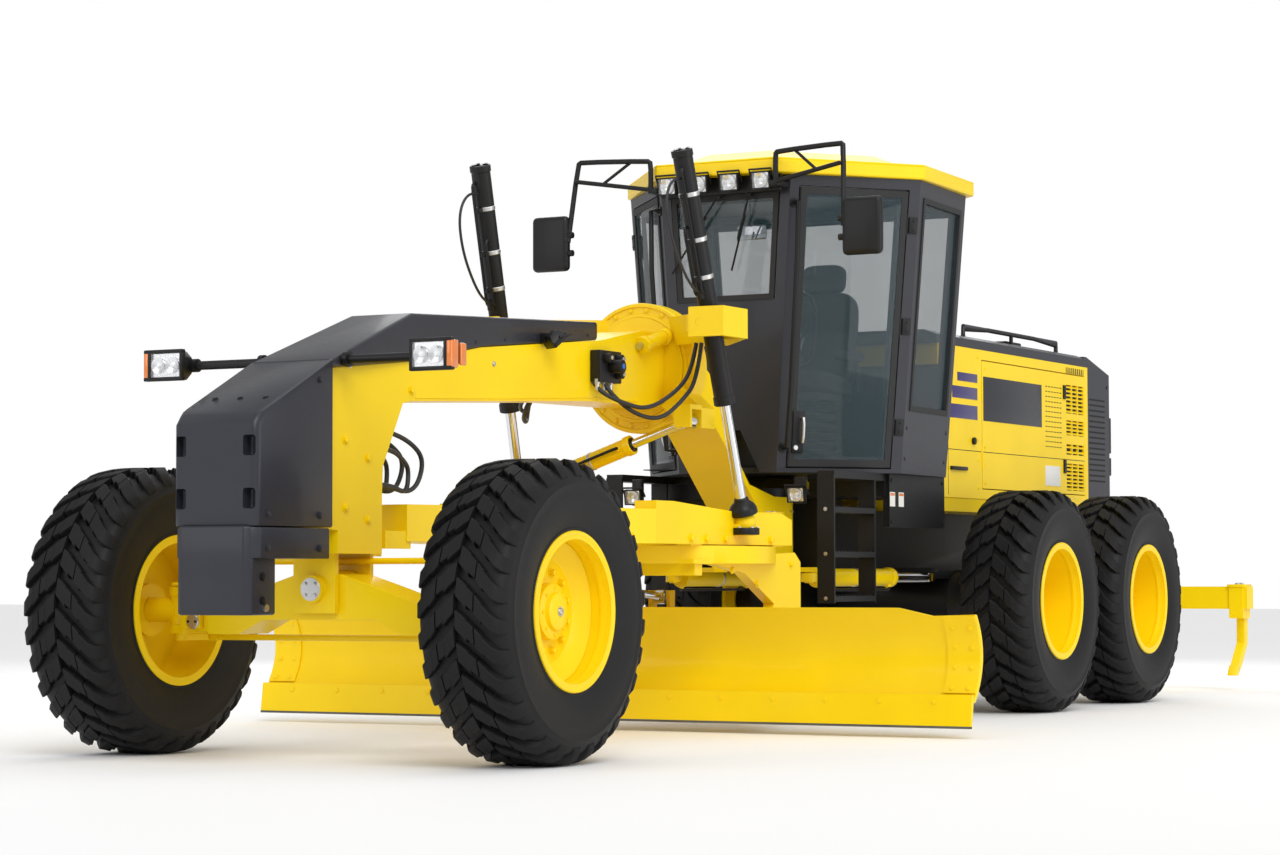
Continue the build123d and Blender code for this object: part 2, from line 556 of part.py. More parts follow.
FRONT_A = tuple((x, -y) for x, y in CAB_A)
REAR_C = tuple((x, -y) for x, y in CAB_C)
DOOR_LOW, DOOR_HIGH = 1395.0, 2930.0
POST = 70.0


def cab_outline(z, inset):
    pts = []
    for post in (CAB_A, CAB_B, CAB_C):
        x, y = corner(post, z)
        pts.append((x, y, z))
    return pts


def cab_prism(grow):
    """The cab's whole outer body, grown outward or, below zero, shrunk."""
    faces = []
    for z in (CAB_FLOOR_Z, CAB_ROOF_Z):
        left = [(p[0], p[1], z) for p in cab_outline(z, 0)]
        points = left + [(x, -y, z) for x, y, _ in reversed(left)]
        face = make_face(Polyline(*points, close=True))
        if grow:
            face = offset(face, amount=grow, kind=Kind.INTERSECTION)
        faces.append(face)
    return loft(faces, ruled=True)


def cab_frame():
    """Hollow shell with door openings and windows cut, and the skirt under the floor."""
    shell = cab_prism(0)
    inner = cab_prism(-CAB_WALL)
    inner -= block(-6000, -3000, -1200, 1200, CAB_FLOOR_Z - 10, CAB_FLOOR_Z + 30)
    inner -= block(-6000, -3000, -1200, 1200, CAB_ROOF_Z - 40, CAB_ROOF_Z + 10)
    shell -= inner
    for flip in (1, -1):
        opening = wall(CAB_A, CAB_B, DOOR_LOW - DOOR_GAP, DOOR_HIGH + DOOR_GAP, CAB_WALL + 60,
                       (POST - 10 - DOOR_GAP, POST - DOOR_GAP), 20)
        rear = wall(CAB_B, CAB_C, 1720, 2900, CAB_WALL + 60, (POST, POST), 20)
        for cut in (opening, rear):
            shell -= cut if flip == 1 else mirrored(cut)
    shell -= wall(FRONT_A, CAB_A, 2320, 2900, CAB_WALL + 60, (60, 60), 20)
    shell -= wall(CAB_C, REAR_C, 2000, 2900, CAB_WALL + 60, (80, 80), 20)
    # notch over the front frame
    shell -= slab("x", -3900, -3700, [(-230, 1300), (230, 1300), (80, 1600), (-80, 1600)])
    return shell


def cab_roof():
    edge = [(-3685, 372), (-4410, 945), (-5250, 890), (-5330, 800)]
    low = [(x, y, CAB_ROOF_Z + RUN) for x, y in edge] + [(x, -y, CAB_ROOF_Z + RUN) for x, y in reversed(edge)]
    body = extrude(make_face(Polyline(*low, close=True)), amount=78, dir=(0, 0, 1))
    top = [(-3760, 300), (-4430, 840), (-5200, 790)]
    crown = [(x, y, CAB_ROOF_Z + 70) for x, y in top] + [(x, -y, CAB_ROOF_Z + 70) for x, y in reversed(top)]
    peak = [(-3990, 190), (-4500, 600), (-5050, 560)]
    upper = [(x, y, CAB_ROOF_Z + 165) for x, y in peak] + [(x, -y, CAB_ROOF_Z + 165) for x, y in reversed(peak)]
    body += loft([make_face(Polyline(*crown, close=True)), make_face(Polyline(*upper, close=True))], ruled=True)
    return body


def door():
    """Left cab door: frame as thick as the wall, with its window cut."""
    panel = wall(CAB_A, CAB_B, DOOR_LOW, DOOR_HIGH, CAB_WALL, (POST - 10, POST), 0)
    window = wall(CAB_A, CAB_B, DOOR_LOW + 60, DOOR_HIGH - 55, CAB_WALL + 60, (POST + 40, POST + 55), 20)
    return panel - window


def cab_glass():
    side = wall(CAB_B, CAB_C, 1720 + RUN, 2900 - RUN, 8, (POST + RUN, POST + RUN), -10)
    front = wall(FRONT_A, CAB_A, 2320 + RUN, 2900 - RUN, 8, (60 + RUN, 60 + RUN), -10)
    rear = wall(CAB_C, REAR_C, 2000 + RUN, 2900 - RUN, 8, (80 + RUN, 80 + RUN), -10)
    return Compound(children=[*side.solids(), *mirrored(side).solids(), *front.solids(), *rear.solids()])


def seat_and_column():
    body = block(-5020, -4540, -240, 240, 1820, 1930)
    body += slab("y", -230, 230, [(-4930, 1900), (-5030, 1900), (-5130, 2420), (-5040, 2420)])
    body += slab("y", -150, 150, [(-5055, 2420), (-5125, 2420), (-5145, 2600), (-5075, 2600)])
    body += block(-4930, -4640, -160, 160, CAB_FLOOR_Z + 30 + RUN, 1820)
    # steering column and its wheel
    base = CAB_FLOOR_Z + 30 + RUN
    body += slab("y", -110, 110, [(-4060, base), (-4260, base), (-4230, 2080), (-4110, 2160), (-4050, 2100)])
    body += bar((-4200, 0, 2080), (-4270, 0, 2190), 30)
    wheel = Plane(origin=(-4290, 0, 2220), z_dir=(-0.5, 0, 0.8)) * Torus(185, 14)
    spokes = Plane(origin=(-4290, 0, 2220), z_dir=(-0.5, 0, 0.8)) * Box(30, 370, 14)
    return body + wheel + spokes + bar((-4260, 0, 2172), (-4294, 0, 2226), 30)


def mirrors_and_lamps():
    """Mirrors on their arms, the lamp board under the roof's front edge and the aerial."""
    arm = bar((-3662, 385, 3100), (-3608, 815, 3114), 16) + bar((-3608, 815, 3114), (-3540, 845, 2660), 14)
    arm += bar((-3662, 385, 2940), (-3567, 812, 3001), 13)
    arm += bar((-3662, 385, 2930), (-3662, 385, 3100), 13)
    arm += block(-3803, -3655, 345, 400, 2918, 2948)
    arm += block(-3575, -3515, 840, 1070, 2500, 2810)
    body = arm + mirrored(arm)
    body += block(-3790, -3750, -370, 370, 2900, CAB_ROOF_Z)
    body += block(-3808, -3790, -330, 330, 2912, CAB_ROOF_Z - 10)
    for y in (-289, -95, 95, 289):
        body += block(-3750, -3681, y - 55, y + 55, 2925, 3012 - 25)
    return body


# ---- rear ---------------------------------------------------------------------------------
def rear_frame():
    """Two rails with the hitch plates, cross-members, cab carriers, steps and ripper bracket."""
    body = block(-8330, -8250, -RAIL_OUTER, RAIL_OUTER, RAIL_LOW, RAIL_TOP)
    for side in (1, -1):
        rail = sorted((side * RAIL_INNER, side * RAIL_OUTER))
        body += slab("y", *rail, [
            (-4560, RAIL_LOW), (-4560, RAIL_TOP), (-8350, RAIL_TOP), (-8350, 820), (-7200, RAIL_LOW)])
    for x in (-4760, -5560, -7300):
        body += block(x - 50, x + 50, -RAIL_OUTER, RAIL_OUTER, 860, 1100)
    plates = ((HITCH_LOW - 50 - RUN, HITCH_LOW - RUN), (HITCH_HIGH + RUN, HITCH_HIGH + 50))
    for low, high in plates:
        body += slab("z", low, high, [(HITCH_X, 140), (-4700, RAIL_OUTER), (-4810, RAIL_OUTER),
                                      (-4810, -RAIL_OUTER), (-4700, -RAIL_OUTER), (HITCH_X, -140)])
        body += bar((HITCH_X, 0, low), (HITCH_X, 0, high), 140)
    body += bar((HITCH_X, 0, plates[0][0]), (HITCH_X, 0, plates[1][1]), HITCH_PIN_R)
    body += block(-4810, -4560, -RAIL_OUTER, RAIL_OUTER, plates[0][0], plates[1][1])
    x, y, z = HINGE_EYE
    under = CAB_FLOOR_Z - RUN
    for side in (1, -1):
        # cab carriers, the skirt below the cab and the platform at the door
        body += block(-5180, -4380, *sorted((side * (RAIL_OUTER - 10), side * 700)), 1240, under)
        body += block(-5180, -4400, *sorted((side * 680, side * 720)), 1070, under)
        body += slab("z", under - 40, under, [
            (-3720, side * 600), (-3720, side * 700), (-4380, side * 700), (-4380, side * 250),
            (-4330, side * 250), (-4330, side * 600)])
        # steps
        for rail_x in STEP_X:
            body += block(rail_x - 8, rail_x + 8, *sorted((side * 600, side * 700)), STEP_LOW, under - 20)
        for rung in STEP_Z:
            body += block(STEP_X[1], STEP_X[0], *sorted((side * 600, side * 700)), rung, rung + 30)
        # ear for the articulation cylinder's rod
        body += block(x - 60, x + 60, *sorted((side * (RAIL_OUTER - 10), side * (y + 40))), z + 30, z + 56)
    # ripper bracket
    body += block(-8430, -8350, -450, 450, 640, 1200)
    px, pz = RIPPER_PIVOT
    for y in (-330, 330):
        for plate in (y - 60, y + 40):
            body += slab("y", plate, plate + 20, [
                (-8420, 620), (px - 20, pz - 40), (px - 45, pz), (px - 20, pz + 40), (-8420, 780)])
        body += pin((px, y, pz), Y, 24, 120)
    px, _, pz = RIPPER_BASE
    for plate in (-50, 30):
        body += slab("y", plate, plate + 20, [
            (-8420, pz - 70), (px - 20, pz - 35), (px - 38, pz), (px - 20, pz + 35), (-8420, pz + 70)])
    body += pin(RIPPER_BASE, Y, 20, 100)
    # axle housing between the tandem cases
    return body + pin((TANDEM_X, 0, AXLE_Z + 20), Y, 165, 2 * (CASE_INNER - RUN))


def tandem_case():
    """Left tandem housing with its two stub axles."""
    ends = (TANDEM_X - TANDEM_SPACING / 2, TANDEM_X + TANDEM_SPACING / 2)
    disc = TRACK_HALF + REAR_DISC_Y
    body = block(*ends, CASE_INNER, CASE_OUTER, AXLE_Z - CASE_HALF_H, AXLE_Z + CASE_HALF_H)
    for x in ends:
        body += bar((x, CASE_INNER, AXLE_Z), (x, CASE_OUTER, AXLE_Z), CASE_HALF_H)
        body += bar((x, CASE_OUTER, AXLE_Z), (x, disc - 62, AXLE_Z), 110)
        body += bar((x, CASE_OUTER, AXLE_Z), (x, disc + 64, AXLE_Z), SPINDLE_R)
    return body


def hood():
    """Front bay of the hood and the frame round the engine doors."""
    half = HOOD_HALF
    body = block(HOOD_BACK, HOOD_FRONT, -half, half, HOOD_LOW, HOOD_TOP)
    body -= block(HOOD_BACK + PANEL_T, HOOD_FRONT - PANEL_T, -half + PANEL_T, half - PANEL_T, HOOD_LOW - 1, HOOD_TOP - PANEL_T)
    body -= block(HOOD_BACK + 60, -6100, -half - 1, half + 1, HOOD_LOW + 60, HOOD_TOP - 60)
    for side in (1, -1):
        body += block(HOOD_BACK, HOOD_FRONT, *sorted((side * RAIL_INNER, side * (half - 5))), RAIL_TOP + RUN, HOOD_LOW + 12)
    return body


def engine_door():
    return block(HOOD_BACK + 60 + DOOR_GAP, -6100 - DOOR_GAP, HOOD_HALF - PANEL_T, HOOD_HALF,
                 HOOD_LOW + 60 + DOOR_GAP, HOOD_TOP - 60 - DOOR_GAP)


def engine_cover():
    """Dark cap along the top and the radiator housing behind it."""
    cap = slab("x", HOOD_BACK, HOOD_FRONT + 20, [
        (-HOOD_HALF, HOOD_TOP + RUN), (-HOOD_HALF, CAP_TOP - 10), (-500, CAP_TOP + 20), (500, CAP_TOP + 20),
        (HOOD_HALF, CAP_TOP - 10), (HOOD_HALF, HOOD_TOP + RUN)])
    housing = slab("y", -555, 555, [
        (HOOD_BACK - RUN, HOOD_LOW), (HOOD_BACK - RUN, CAP_TOP + 12), (-7990, CAP_TOP + 12),
        (HOUSING_BACK, 2145), (HOUSING_BACK, HOOD_LOW)])
    housing += block(-8340, HOOD_BACK - RUN, -400, 400, RAIL_TOP + RUN, HOOD_LOW)
    rail = bar((-6200, 420, CAP_TOP + 10), (-6200, 420, 2330), 13)
    rail += bar((-6200, 420, 2330), (-7780, 420, 2330), 13) + bar((-7780, 420, 2330), (-7780, 420, CAP_TOP + 10), 13)
    return cap + housing + rail + mirrored(rail)


def engine():
    return block(-7700, -6300, -RAIL_INNER - 60, RAIL_INNER + 60, HOOD_LOW + 12 + RUN, 2000)


def ripper():
    """Cross beam on two arms, with three shanks."""
    body = block(RIPPER_X - 70, RIPPER_X + 70, -RIPPER_HALF - 20, RIPPER_HALF + 20, RIPPER_LOW, RIPPER_TOP)
    for side in (1, -1):
        y = side * 330
        body += slab("y", y - 32, y + 32, [
            (RIPPER_X, 600), (RIPPER_X, 700), (-8800, 745), (-8450, 745), (-8450, 655), (-8800, 640)])
        body -= pin((RIPPER_PIVOT[0], y, RIPPER_PIVOT[1]), Y, 24 + RUN, 200)
    for y in (-SHANK_Y, 0, SHANK_Y):
        body += block(RIPPER_X - 80, RIPPER_X + 80, y - 50, y + 50, 500, RIPPER_TOP)
        body += slab("y", y - 28, y + 28, [
            (-9630, 520), (-9550, 520), (-9540, 330), (-9430, 200), (-9380, 105), (-9320, 110),
            (-9370, 240), (-9480, 380)][0:2] + [(-9545, 330), (-9420, 200), (-9330, 108), (-9400, 105),
                                               (-9500, 190), (-9620, 320)])
    ex, _, ez = RIPPER_EYE
    for y in (-42, 42):
        body += slab("y", y - 10, y + 10, [(ex - 50, 690), (ex + 50, 690), (ex + 28, ez + 34), (ex - 28, ez + 34)])
    return body + block(ex - 50, ex + 50, -365, 365, 640, 700)


# ---- writing ------------------------------------------------------------------------------
def pieces():
    """Every node's name and shape."""
    out = {}
    for name, x, side, disc in WHEELS:
        out[f"{name}_tyre"] = tyre(x, side)
        out[f"{name}_rim"] = rim(x, side, disc)
    out["front_axle"] = front_axle()
    out["left_yoke"] = yoke()
    out["right_yoke"] = mirrored(out["left_yoke"])
    out["left_knuckle"] = knuckle()
    out["right_knuckle"] = mirrored(out["left_knuckle"])
    out["lean_bar"] = lean_bar()
    out["tie_rod"] = tie_rod()
    out["front_frame"] = front_frame()
    out["counterweight_and_cover"] = counterweight()
    out["saddle_ring"] = saddle_ring()
    out["headlamps"] = headlamps()
    out["drawbar_swivel"] = drawbar_swivel()
    out["drawbar"] = drawbar()
    out["circle"] = circle()
    out["pitch_carrier"] = pitch_carrier()
    out["moldboard"] = moldboard()
    out["cutting_edge"] = cutting_edge()
    out["left_lift_gimbal"] = lift_gimbal()
    out["right_lift_gimbal"] = mirrored(out["left_lift_gimbal"])
    out["left_lift_barrel"] = lift_barrel()
    out["left_lift_rod"] = lift_rod()
    out["right_lift_barrel"] = mirrored(out["left_lift_barrel"])
    out["right_lift_rod"] = mirrored(out["left_lift_rod"])
    out["shift_barrel"] = barrel(SHIFT_BASE, between(SHIFT_BASE, SHIFT_EYE, 0.625), 46, 24, X, 18)
    out["shift_rod"] = eyed_rod(between(SHIFT_BASE, SHIFT_EYE, 0.385), SHIFT_EYE, 24, X, 18)
    out["left_hinge_barrel"] = barrel(HINGE_BASE, between(HINGE_BASE, HINGE_EYE, 0.66), 50, 28, Z, 24)
    out["left_hinge_rod"] = rod(between(HINGE_BASE, HINGE_EYE, 0.35), HINGE_EYE, 28, Z, 24)
    out["right_hinge_barrel"] = mirrored(out["left_hinge_barrel"])
    out["right_hinge_rod"] = mirrored(out["left_hinge_rod"])
    out["tilt_barrel"] = barrel(TILT_BASE, between(TILT_BASE, TILT_EYE, 0.57), 35, 20, Y, 18)
    out["tilt_rod"] = rod(between(TILT_BASE, TILT_EYE, 0.512), TILT_EYE, 20, Y, 18)
    out["rear_frame"] = rear_frame()
    out["tandem_cases"] = both(tandem_case())
    out["cab_frame"] = cab_frame()
    out["cab_roof"] = cab_roof()
    out["left_door"] = door()
    out["right_door"] = mirrored(out["left_door"])
    out["cab_glass"] = cab_glass()
    out["seat_and_column"] = seat_and_column()
    out["mirrors_and_lamps"] = mirrors_and_lamps()
    out["hood"] = hood()
    out["left_engine_door"] = engine_door()
    out["right_engine_door"] = mirrored(out["left_engine_door"])
    out["engine_cover"] = engine_cover()
    out["engine"] = engine()
    out["ripper"] = ripper()
    out["ripper_barrel"] = barrel(RIPPER_BASE, between(RIPPER_BASE, RIPPER_EYE, 0.60), 52, 26, Y, 20)
    out["ripper_rod"] = rod(between(RIPPER_BASE, RIPPER_EYE, 0.34), RIPPER_EYE, 26, Y, 18)
    return out


os.makedirs("parts", exist_ok=True)
for node, shape in pieces().items():
    export_step(shape, f"parts/{node}.step")
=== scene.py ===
import json
import math

import bmesh
import bpy
from mathutils import Matrix, Vector


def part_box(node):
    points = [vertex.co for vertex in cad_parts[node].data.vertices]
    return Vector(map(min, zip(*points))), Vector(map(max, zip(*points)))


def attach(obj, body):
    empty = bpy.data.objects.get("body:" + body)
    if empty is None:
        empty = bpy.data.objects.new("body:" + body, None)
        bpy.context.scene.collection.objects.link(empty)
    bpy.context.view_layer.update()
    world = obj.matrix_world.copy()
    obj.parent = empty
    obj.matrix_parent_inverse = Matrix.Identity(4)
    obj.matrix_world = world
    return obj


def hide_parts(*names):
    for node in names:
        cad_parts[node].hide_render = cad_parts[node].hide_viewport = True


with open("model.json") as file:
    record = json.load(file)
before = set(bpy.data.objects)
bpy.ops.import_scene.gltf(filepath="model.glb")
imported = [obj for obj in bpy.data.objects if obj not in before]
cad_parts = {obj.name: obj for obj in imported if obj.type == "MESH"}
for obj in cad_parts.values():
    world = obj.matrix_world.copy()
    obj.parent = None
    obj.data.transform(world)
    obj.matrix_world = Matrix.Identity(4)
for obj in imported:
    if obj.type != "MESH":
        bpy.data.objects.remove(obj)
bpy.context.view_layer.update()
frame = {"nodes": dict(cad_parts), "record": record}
NODES = frame["nodes"]
BODY = {node: body for body, nodes in frame["record"]["behaviour"]["bodies"].items() for node in nodes}


# ---- materials ----------------------------------------------------------------------------
def material(name, color, rough=0.5, metal=0.0, coat=0.0, grain=0.0, grain_size=40.0, wear=0.0, shine=0.5):
    """A Principled finish with a little noise in its roughness and, where asked, in its colour and height."""
    made = bpy.data.materials.new(name)
    made.use_nodes = True
    nodes, links = made.node_tree.nodes, made.node_tree.links
    shader = nodes["Principled BSDF"]
    shader.inputs["Base Color"].default_value = (*color, 1)
    shader.inputs["Metallic"].default_value = metal
    shader.inputs["Coat Weight"].default_value = coat
    shader.inputs["Specular IOR Level"].default_value = shine
    shader.inputs["Coat Roughness"].default_value = 0.12
    place = nodes.new("ShaderNodeTexCoord")
    noise = nodes.new("ShaderNodeTexNoise")
    noise.inputs["Scale"].default_value = grain_size
    noise.inputs["Detail"].default_value = 4
    links.new(place.outputs["Object"], noise.inputs["Vector"])
    spread = nodes.new("ShaderNodeMapRange")
    spread.inputs["To Min"].default_value = max(0.02, rough - 0.05)
    spread.inputs["To Max"].default_value = min(1, rough + 0.05)
    links.new(noise.outputs["Fac"], spread.inputs["Value"])
    links.new(spread.outputs["Result"], shader.inputs["Roughness"])
    if wear:
        broad = nodes.new("ShaderNodeTexNoise")
        broad.inputs["Scale"].default_value = 2.5
        broad.inputs["Detail"].default_value = 6
        links.new(place.outputs["Object"], broad.inputs["Vector"])
        ramp = nodes.new("ShaderNodeValToRGB")
        ramp.color_ramp.elements[0].position = 0.35
        ramp.color_ramp.elements[0].color = (*[c * (1 - wear) for c in color], 1)
        ramp.color_ramp.elements[1].position = 0.65
        ramp.color_ramp.elements[1].color = (*color, 1)
        links.new(broad.outputs["Fac"], ramp.inputs["Fac"])
        links.new(ramp.outputs["Color"], shader.inputs["Base Color"])
    if grain:
        bump = nodes.new("ShaderNodeBump")
        bump.inputs["Strength"].default_value = grain
        bump.inputs["Distance"].default_value = 0.002
        links.new(noise.outputs["Fac"], bump.inputs["Height"])
        links.new(bump.outputs["Normal"], shader.inputs["Normal"])
    return made


def glass(name, color, alpha):
    """A clear or tinted pane."""
    made = bpy.data.materials.new(name)
    made.use_nodes = True
    shader = made.node_tree.nodes["Principled BSDF"]
    shader.inputs["Base Color"].default_value = (*color, 1)
    shader.inputs["Roughness"].default_value = 0.03
    shader.inputs["Alpha"].default_value = alpha
    shader.inputs["IOR"].default_value = 1.45
    shader.inputs["Coat Weight"].default_value = 0.5
    return made


YELLOW = material("yellow_paint", (0.95, 0.66, 0.002), 0.36, coat=0.12, wear=0.05, shine=0.22)
CHARCOAL = material("charcoal_paint", (0.026, 0.027, 0.036), 0.42, coat=0.12, wear=0.1, shine=0.3)
BLACK = material("black_paint", (0.008, 0.008, 0.009), 0.45, coat=0.05, wear=0.2, shine=0.3)
RUBBER = material("tyre_rubber", (0.009, 0.009, 0.010), 0.62, grain=0.25, grain_size=180, wear=0.3,
                  shine=0.22)
SIDEWALL = material("tyre_sidewall", (0.008, 0.008, 0.009), 0.55, grain=0.1, grain_size=90, wear=0.2,
                    shine=0.25)
TRIM = material("black_rubber", (0.014, 0.014, 0.015), 0.7, grain=0.1, grain_size=200)
HOSE = material("hose_rubber", (0.016, 0.016, 0.018), 0.5, grain=0.15, grain_size=300)
CHROME = material("chrome_rod", (0.75, 0.76, 0.78), 0.12, metal=1)
STEEL = material("zinc_bolt", (0.6, 0.6, 0.6), 0.35, metal=1)
CLOTH = material("seat_fabric", (0.045, 0.047, 0.055), 0.9, grain=0.6, grain_size=450)
PLASTIC = material("cab_plastic", (0.045, 0.047, 0.055), 0.6, grain=0.2, grain_size=250)
NAVY = material("navy_stripe", (0.028, 0.018, 0.13), 0.4, coat=0.3)
LABEL = material("blank_label", (0.75, 0.74, 0.7), 0.5, coat=0.2)
CAST = material("cast_engine", (0.09, 0.09, 0.09), 0.7, grain=0.4, grain_size=120)
LENS = material("lamp_lens", (0.8, 0.83, 0.84), 0.18, coat=1.0)
REFLECTOR = material("lamp_bowl", (0.8, 0.8, 0.82), 0.2, metal=1)
AMBER = material("amber_lens", (0.75, 0.19, 0.015), 0.2, coat=1.0)
RED = material("red_lens", (0.45, 0.01, 0.01), 0.2, coat=1.0)
MIRROR = material("mirror_glass", (0.85, 0.87, 0.9), 0.04, metal=1)
GLASS = glass("cab_glass", (0.035, 0.07, 0.085), alpha=0.30)
CLEAR = glass("clear_lens", (0.9, 0.93, 0.95), alpha=0.12)
SCREEN = material("dark_screen", (0.02, 0.03, 0.04), 0.08, coat=1.0)
EDGE_STEEL = material("worn_steel", (0.16, 0.155, 0.15), 0.38, metal=0.7, wear=0.3)
BLUE = material("blue_tag", (0.03, 0.14, 0.5), 0.4)
# painted shade: this near-black stands for the shade inside vents, slots, louvres and behind the rear grille;
# the same finish also draws the dark seams between panels
PAINTED_SHADE_AND_SEAM = material("painted_shade_and_seam", (0.01, 0.01, 0.01), 0.9)


def paint(finish, *names):
    """Gives CAD nodes their finish."""
    for name in names:
        mesh = NODES[name].data
        mesh.materials.clear()
        mesh.materials.append(finish)


# ---- building shapes ----------------------------------------------------------------------
SIDES = ((1, "left"), (-1, "right"))


def mirror(spot, side):
    """A point or direction of the left side, or the same on the right side where side is -1."""
    return Vector((spot[0], side * spot[1], spot[2]))


def circle(count, first=0.0):
    """Cosine and sine of even steps round a circle; first is how many steps round it starts."""
    for step in range(count):
        angle = 2 * math.pi * (step + first) / count
        yield math.cos(angle), math.sin(angle)


def placed(name, data):
    """A new object of the scene."""
    made = bpy.data.objects.new(name, data)
    bpy.context.scene.collection.objects.link(made)
    return made


class Shape:
    """One piece in the making: solids are added with a finish each, and done() makes the object."""

    def __init__(self):
        self.mesh = bmesh.new()
        self.finishes = []

    def index(self, finish):
        if finish not in self.finishes:
            self.finishes.append(finish)
        return self.finishes.index(finish)

    def take(self, faces, finish, bevel=0.0, segments=2, limit=30.0):
        """Sets the finish of new faces and rounds their sharp edges."""
        spot = self.index(finish)
        for f in faces:
            f.material_index = spot
        if bevel:
            edges = {e for f in faces for e in f.edges
                     if len(e.link_faces) == 2 and e.calc_face_angle(0) > math.radians(limit)}
            bmesh.ops.bevel(self.mesh, geom=list(edges), offset=bevel, segments=segments, profile=0.5,
                            affect="EDGES", clamp_overlap=True, material=-1)
        return self

    def hull(self, rings, finish, bevel=0.0, segments=2):
        """A closed skin through rings of points, each ring as many points as the next."""
        rows = [[self.mesh.verts.new(p) for p in ring] for ring in rings]
        faces = []
        for a, b in zip(rows, rows[1:]):
            n = len(a)
            for i in range(n):
                faces.append(self.mesh.faces.new((a[i], a[(i + 1) % n], b[(i + 1) % n], b[i])))
        faces.append(self.mesh.faces.new(list(reversed(rows[0]))))
        faces.append(self.mesh.faces.new(rows[-1]))
        bmesh.ops.recalc_face_normals(self.mesh, faces=faces)
        return self.take(faces, finish, bevel, segments)

    def box(self, low, high, finish, bevel=0.004, segments=2):
        (x0, y0, z0), (x1, y1, z1) = low, high
        rings = [[(x0, y0, z), (x1, y0, z), (x1, y1, z), (x0, y1, z)] for z in (z0, z1)]
        return self.hull(rings, finish, bevel, segments)

    def side_box(self, side, x, y, z, finish, bevel=0.004, segments=2):
        """A box by its limits in x, y and z, with y measured outward on one side of the machine."""
        y = sorted(side * value for value in y)
        return self.box((x[0], y[0], z[0]), (x[1], y[1], z[1]), finish, bevel, segments)

    def prism(self, axis, low, high, outline, finish, bevel=0.003, segments=2):
        """An outline (of the two other coordinates, in x, y, z order) pushed along an axis."""
        place = {
            "x": lambda a, b, c: (c, a, b),
            "y": lambda a, b, c: (a, c, b),
            "z": lambda a, b, c: (a, b, c),
        }[axis]
        return self.hull([[place(a, b, c) for a, b in outline] for c in (low, high)], finish, bevel, segments)

    def bar(self, start, end, radius, finish, sides=20, bevel=0.0, end_radius=None):
        start, end = Vector(start), Vector(end)
        way = (end - start).normalized()
        side = way.orthogonal().normalized()
        up = way.cross(side)
        rings = []
        for point, r in ((start, radius), (end, end_radius or radius)):
            rings.append([point + r * (side * c + up * s) for c, s in circle(sides)])
        return self.hull(rings, finish, bevel)

    def turn(self, profile, centre, axis, finish, sides=48, closed=False):
        """A (radius, along) outline turned about an axis through a centre."""
        axis = Vector(axis).normalized()
        side = axis.orthogonal().normalized()
        up = axis.cross(side)
        centre = Vector(centre)
        rows = []
        for c, s in circle(sides):
            out = side * c + up * s
            rows.append([self.mesh.verts.new(centre + out * r + axis * a) for r, a in profile])
        faces = []
        count = len(profile)
        for i in range(sides):
            a, b = rows[i], rows[(i + 1) % sides]
            for j in range(count if closed else count - 1):
                k = (j + 1) % count
                faces.append(self.mesh.faces.new((a[j], b[j], b[k], a[k])))
        bmesh.ops.recalc_face_normals(self.mesh, faces=faces)
        return self.take(faces, finish)

    def bolt(self, centre, axis, radius, finish, height=None, washer=True):
        """A hexagon head on its washer, seated on the point and standing along the axis."""
        centre, axis = Vector(centre), Vector(axis).normalized()
        height = height or radius * 0.8
        if washer:
            self.bar(centre - axis * 0.002, centre + axis * 0.003, radius * 1.35, finish, 16)
        return self.bar(centre, centre + axis * height, radius, finish, 6, radius * 0.12)

    def side_bolt(self, side, spot, *how, **more):
        """A bolt that looks outward on one side of the machine."""
        return self.bolt(mirror(spot, side), (0, side, 0), *how, **more)

    def tube(self, points, radius, finish, sides=10, smooth=0):
        """A tube along points; smooth rounds its corners by that many passes."""
        points = [Vector(p) for p in points]
        for _ in range(smooth):
            cut = [points[0]]
            for a, b in zip(points, points[1:]):
                cut += [a * 0.75 + b * 0.25, a * 0.25 + b * 0.75]
            points = cut + [points[-1]]
        rings, side = [], None
        for i, p in enumerate(points):
            before, after = points[max(i - 1, 0)], points[min(i + 1, len(points) - 1)]
            way = (after - before).normalized()
            if side is None:
                side = way.orthogonal().normalized()
            side = (side - way * side.dot(way)).normalized()
            up = way.cross(side)
            rings.append([p + radius * (side * c + up * s) for c, s in circle(sides)])
        return self.hull(rings, finish)

    def done(self, name, body, replaces=(), move=None, sharp=35.0):
        mesh = bpy.data.meshes.new(name)
        if move:
            self.mesh.transform(move)
        self.mesh.to_mesh(mesh)
        self.mesh.free()
        return finished(mesh, name, body, self.finishes, replaces, sharp)


def finished(mesh, name, body, finishes, replaces=(), sharp=35.0):
    for finish in finishes:
        mesh.materials.append(finish)
    made = placed(name, mesh)
    mesh.polygons.foreach_set("use_smooth", [True] * len(mesh.polygons))
    mesh.set_sharp_from_angle(angle=math.radians(sharp))
    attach(made, body)
    if replaces:
        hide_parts(*replaces)
    return made


def carve(shape, cutter):
    """Takes the solids of one shape out of another's; the cut faces get the first shape's own finishes."""
    pair = []
    for part in (shape, cutter):
        mesh = bpy.data.meshes.new("carving")
        part.mesh.to_mesh(mesh)
        pair.append(placed("carving", mesh))
    cut = pair[0].modifiers.new("cut", "BOOLEAN")
    cut.operation = "DIFFERENCE"
    cut.solver = "EXACT"
    cut.object = pair[1]
    result = bpy.data.meshes.new_from_object(pair[0].evaluated_get(bpy.context.evaluated_depsgraph_get()))
    shape.mesh.clear()
    shape.mesh.from_mesh(result)
    cutter.mesh.free()
    for done in pair:
        bpy.data.objects.remove(done)


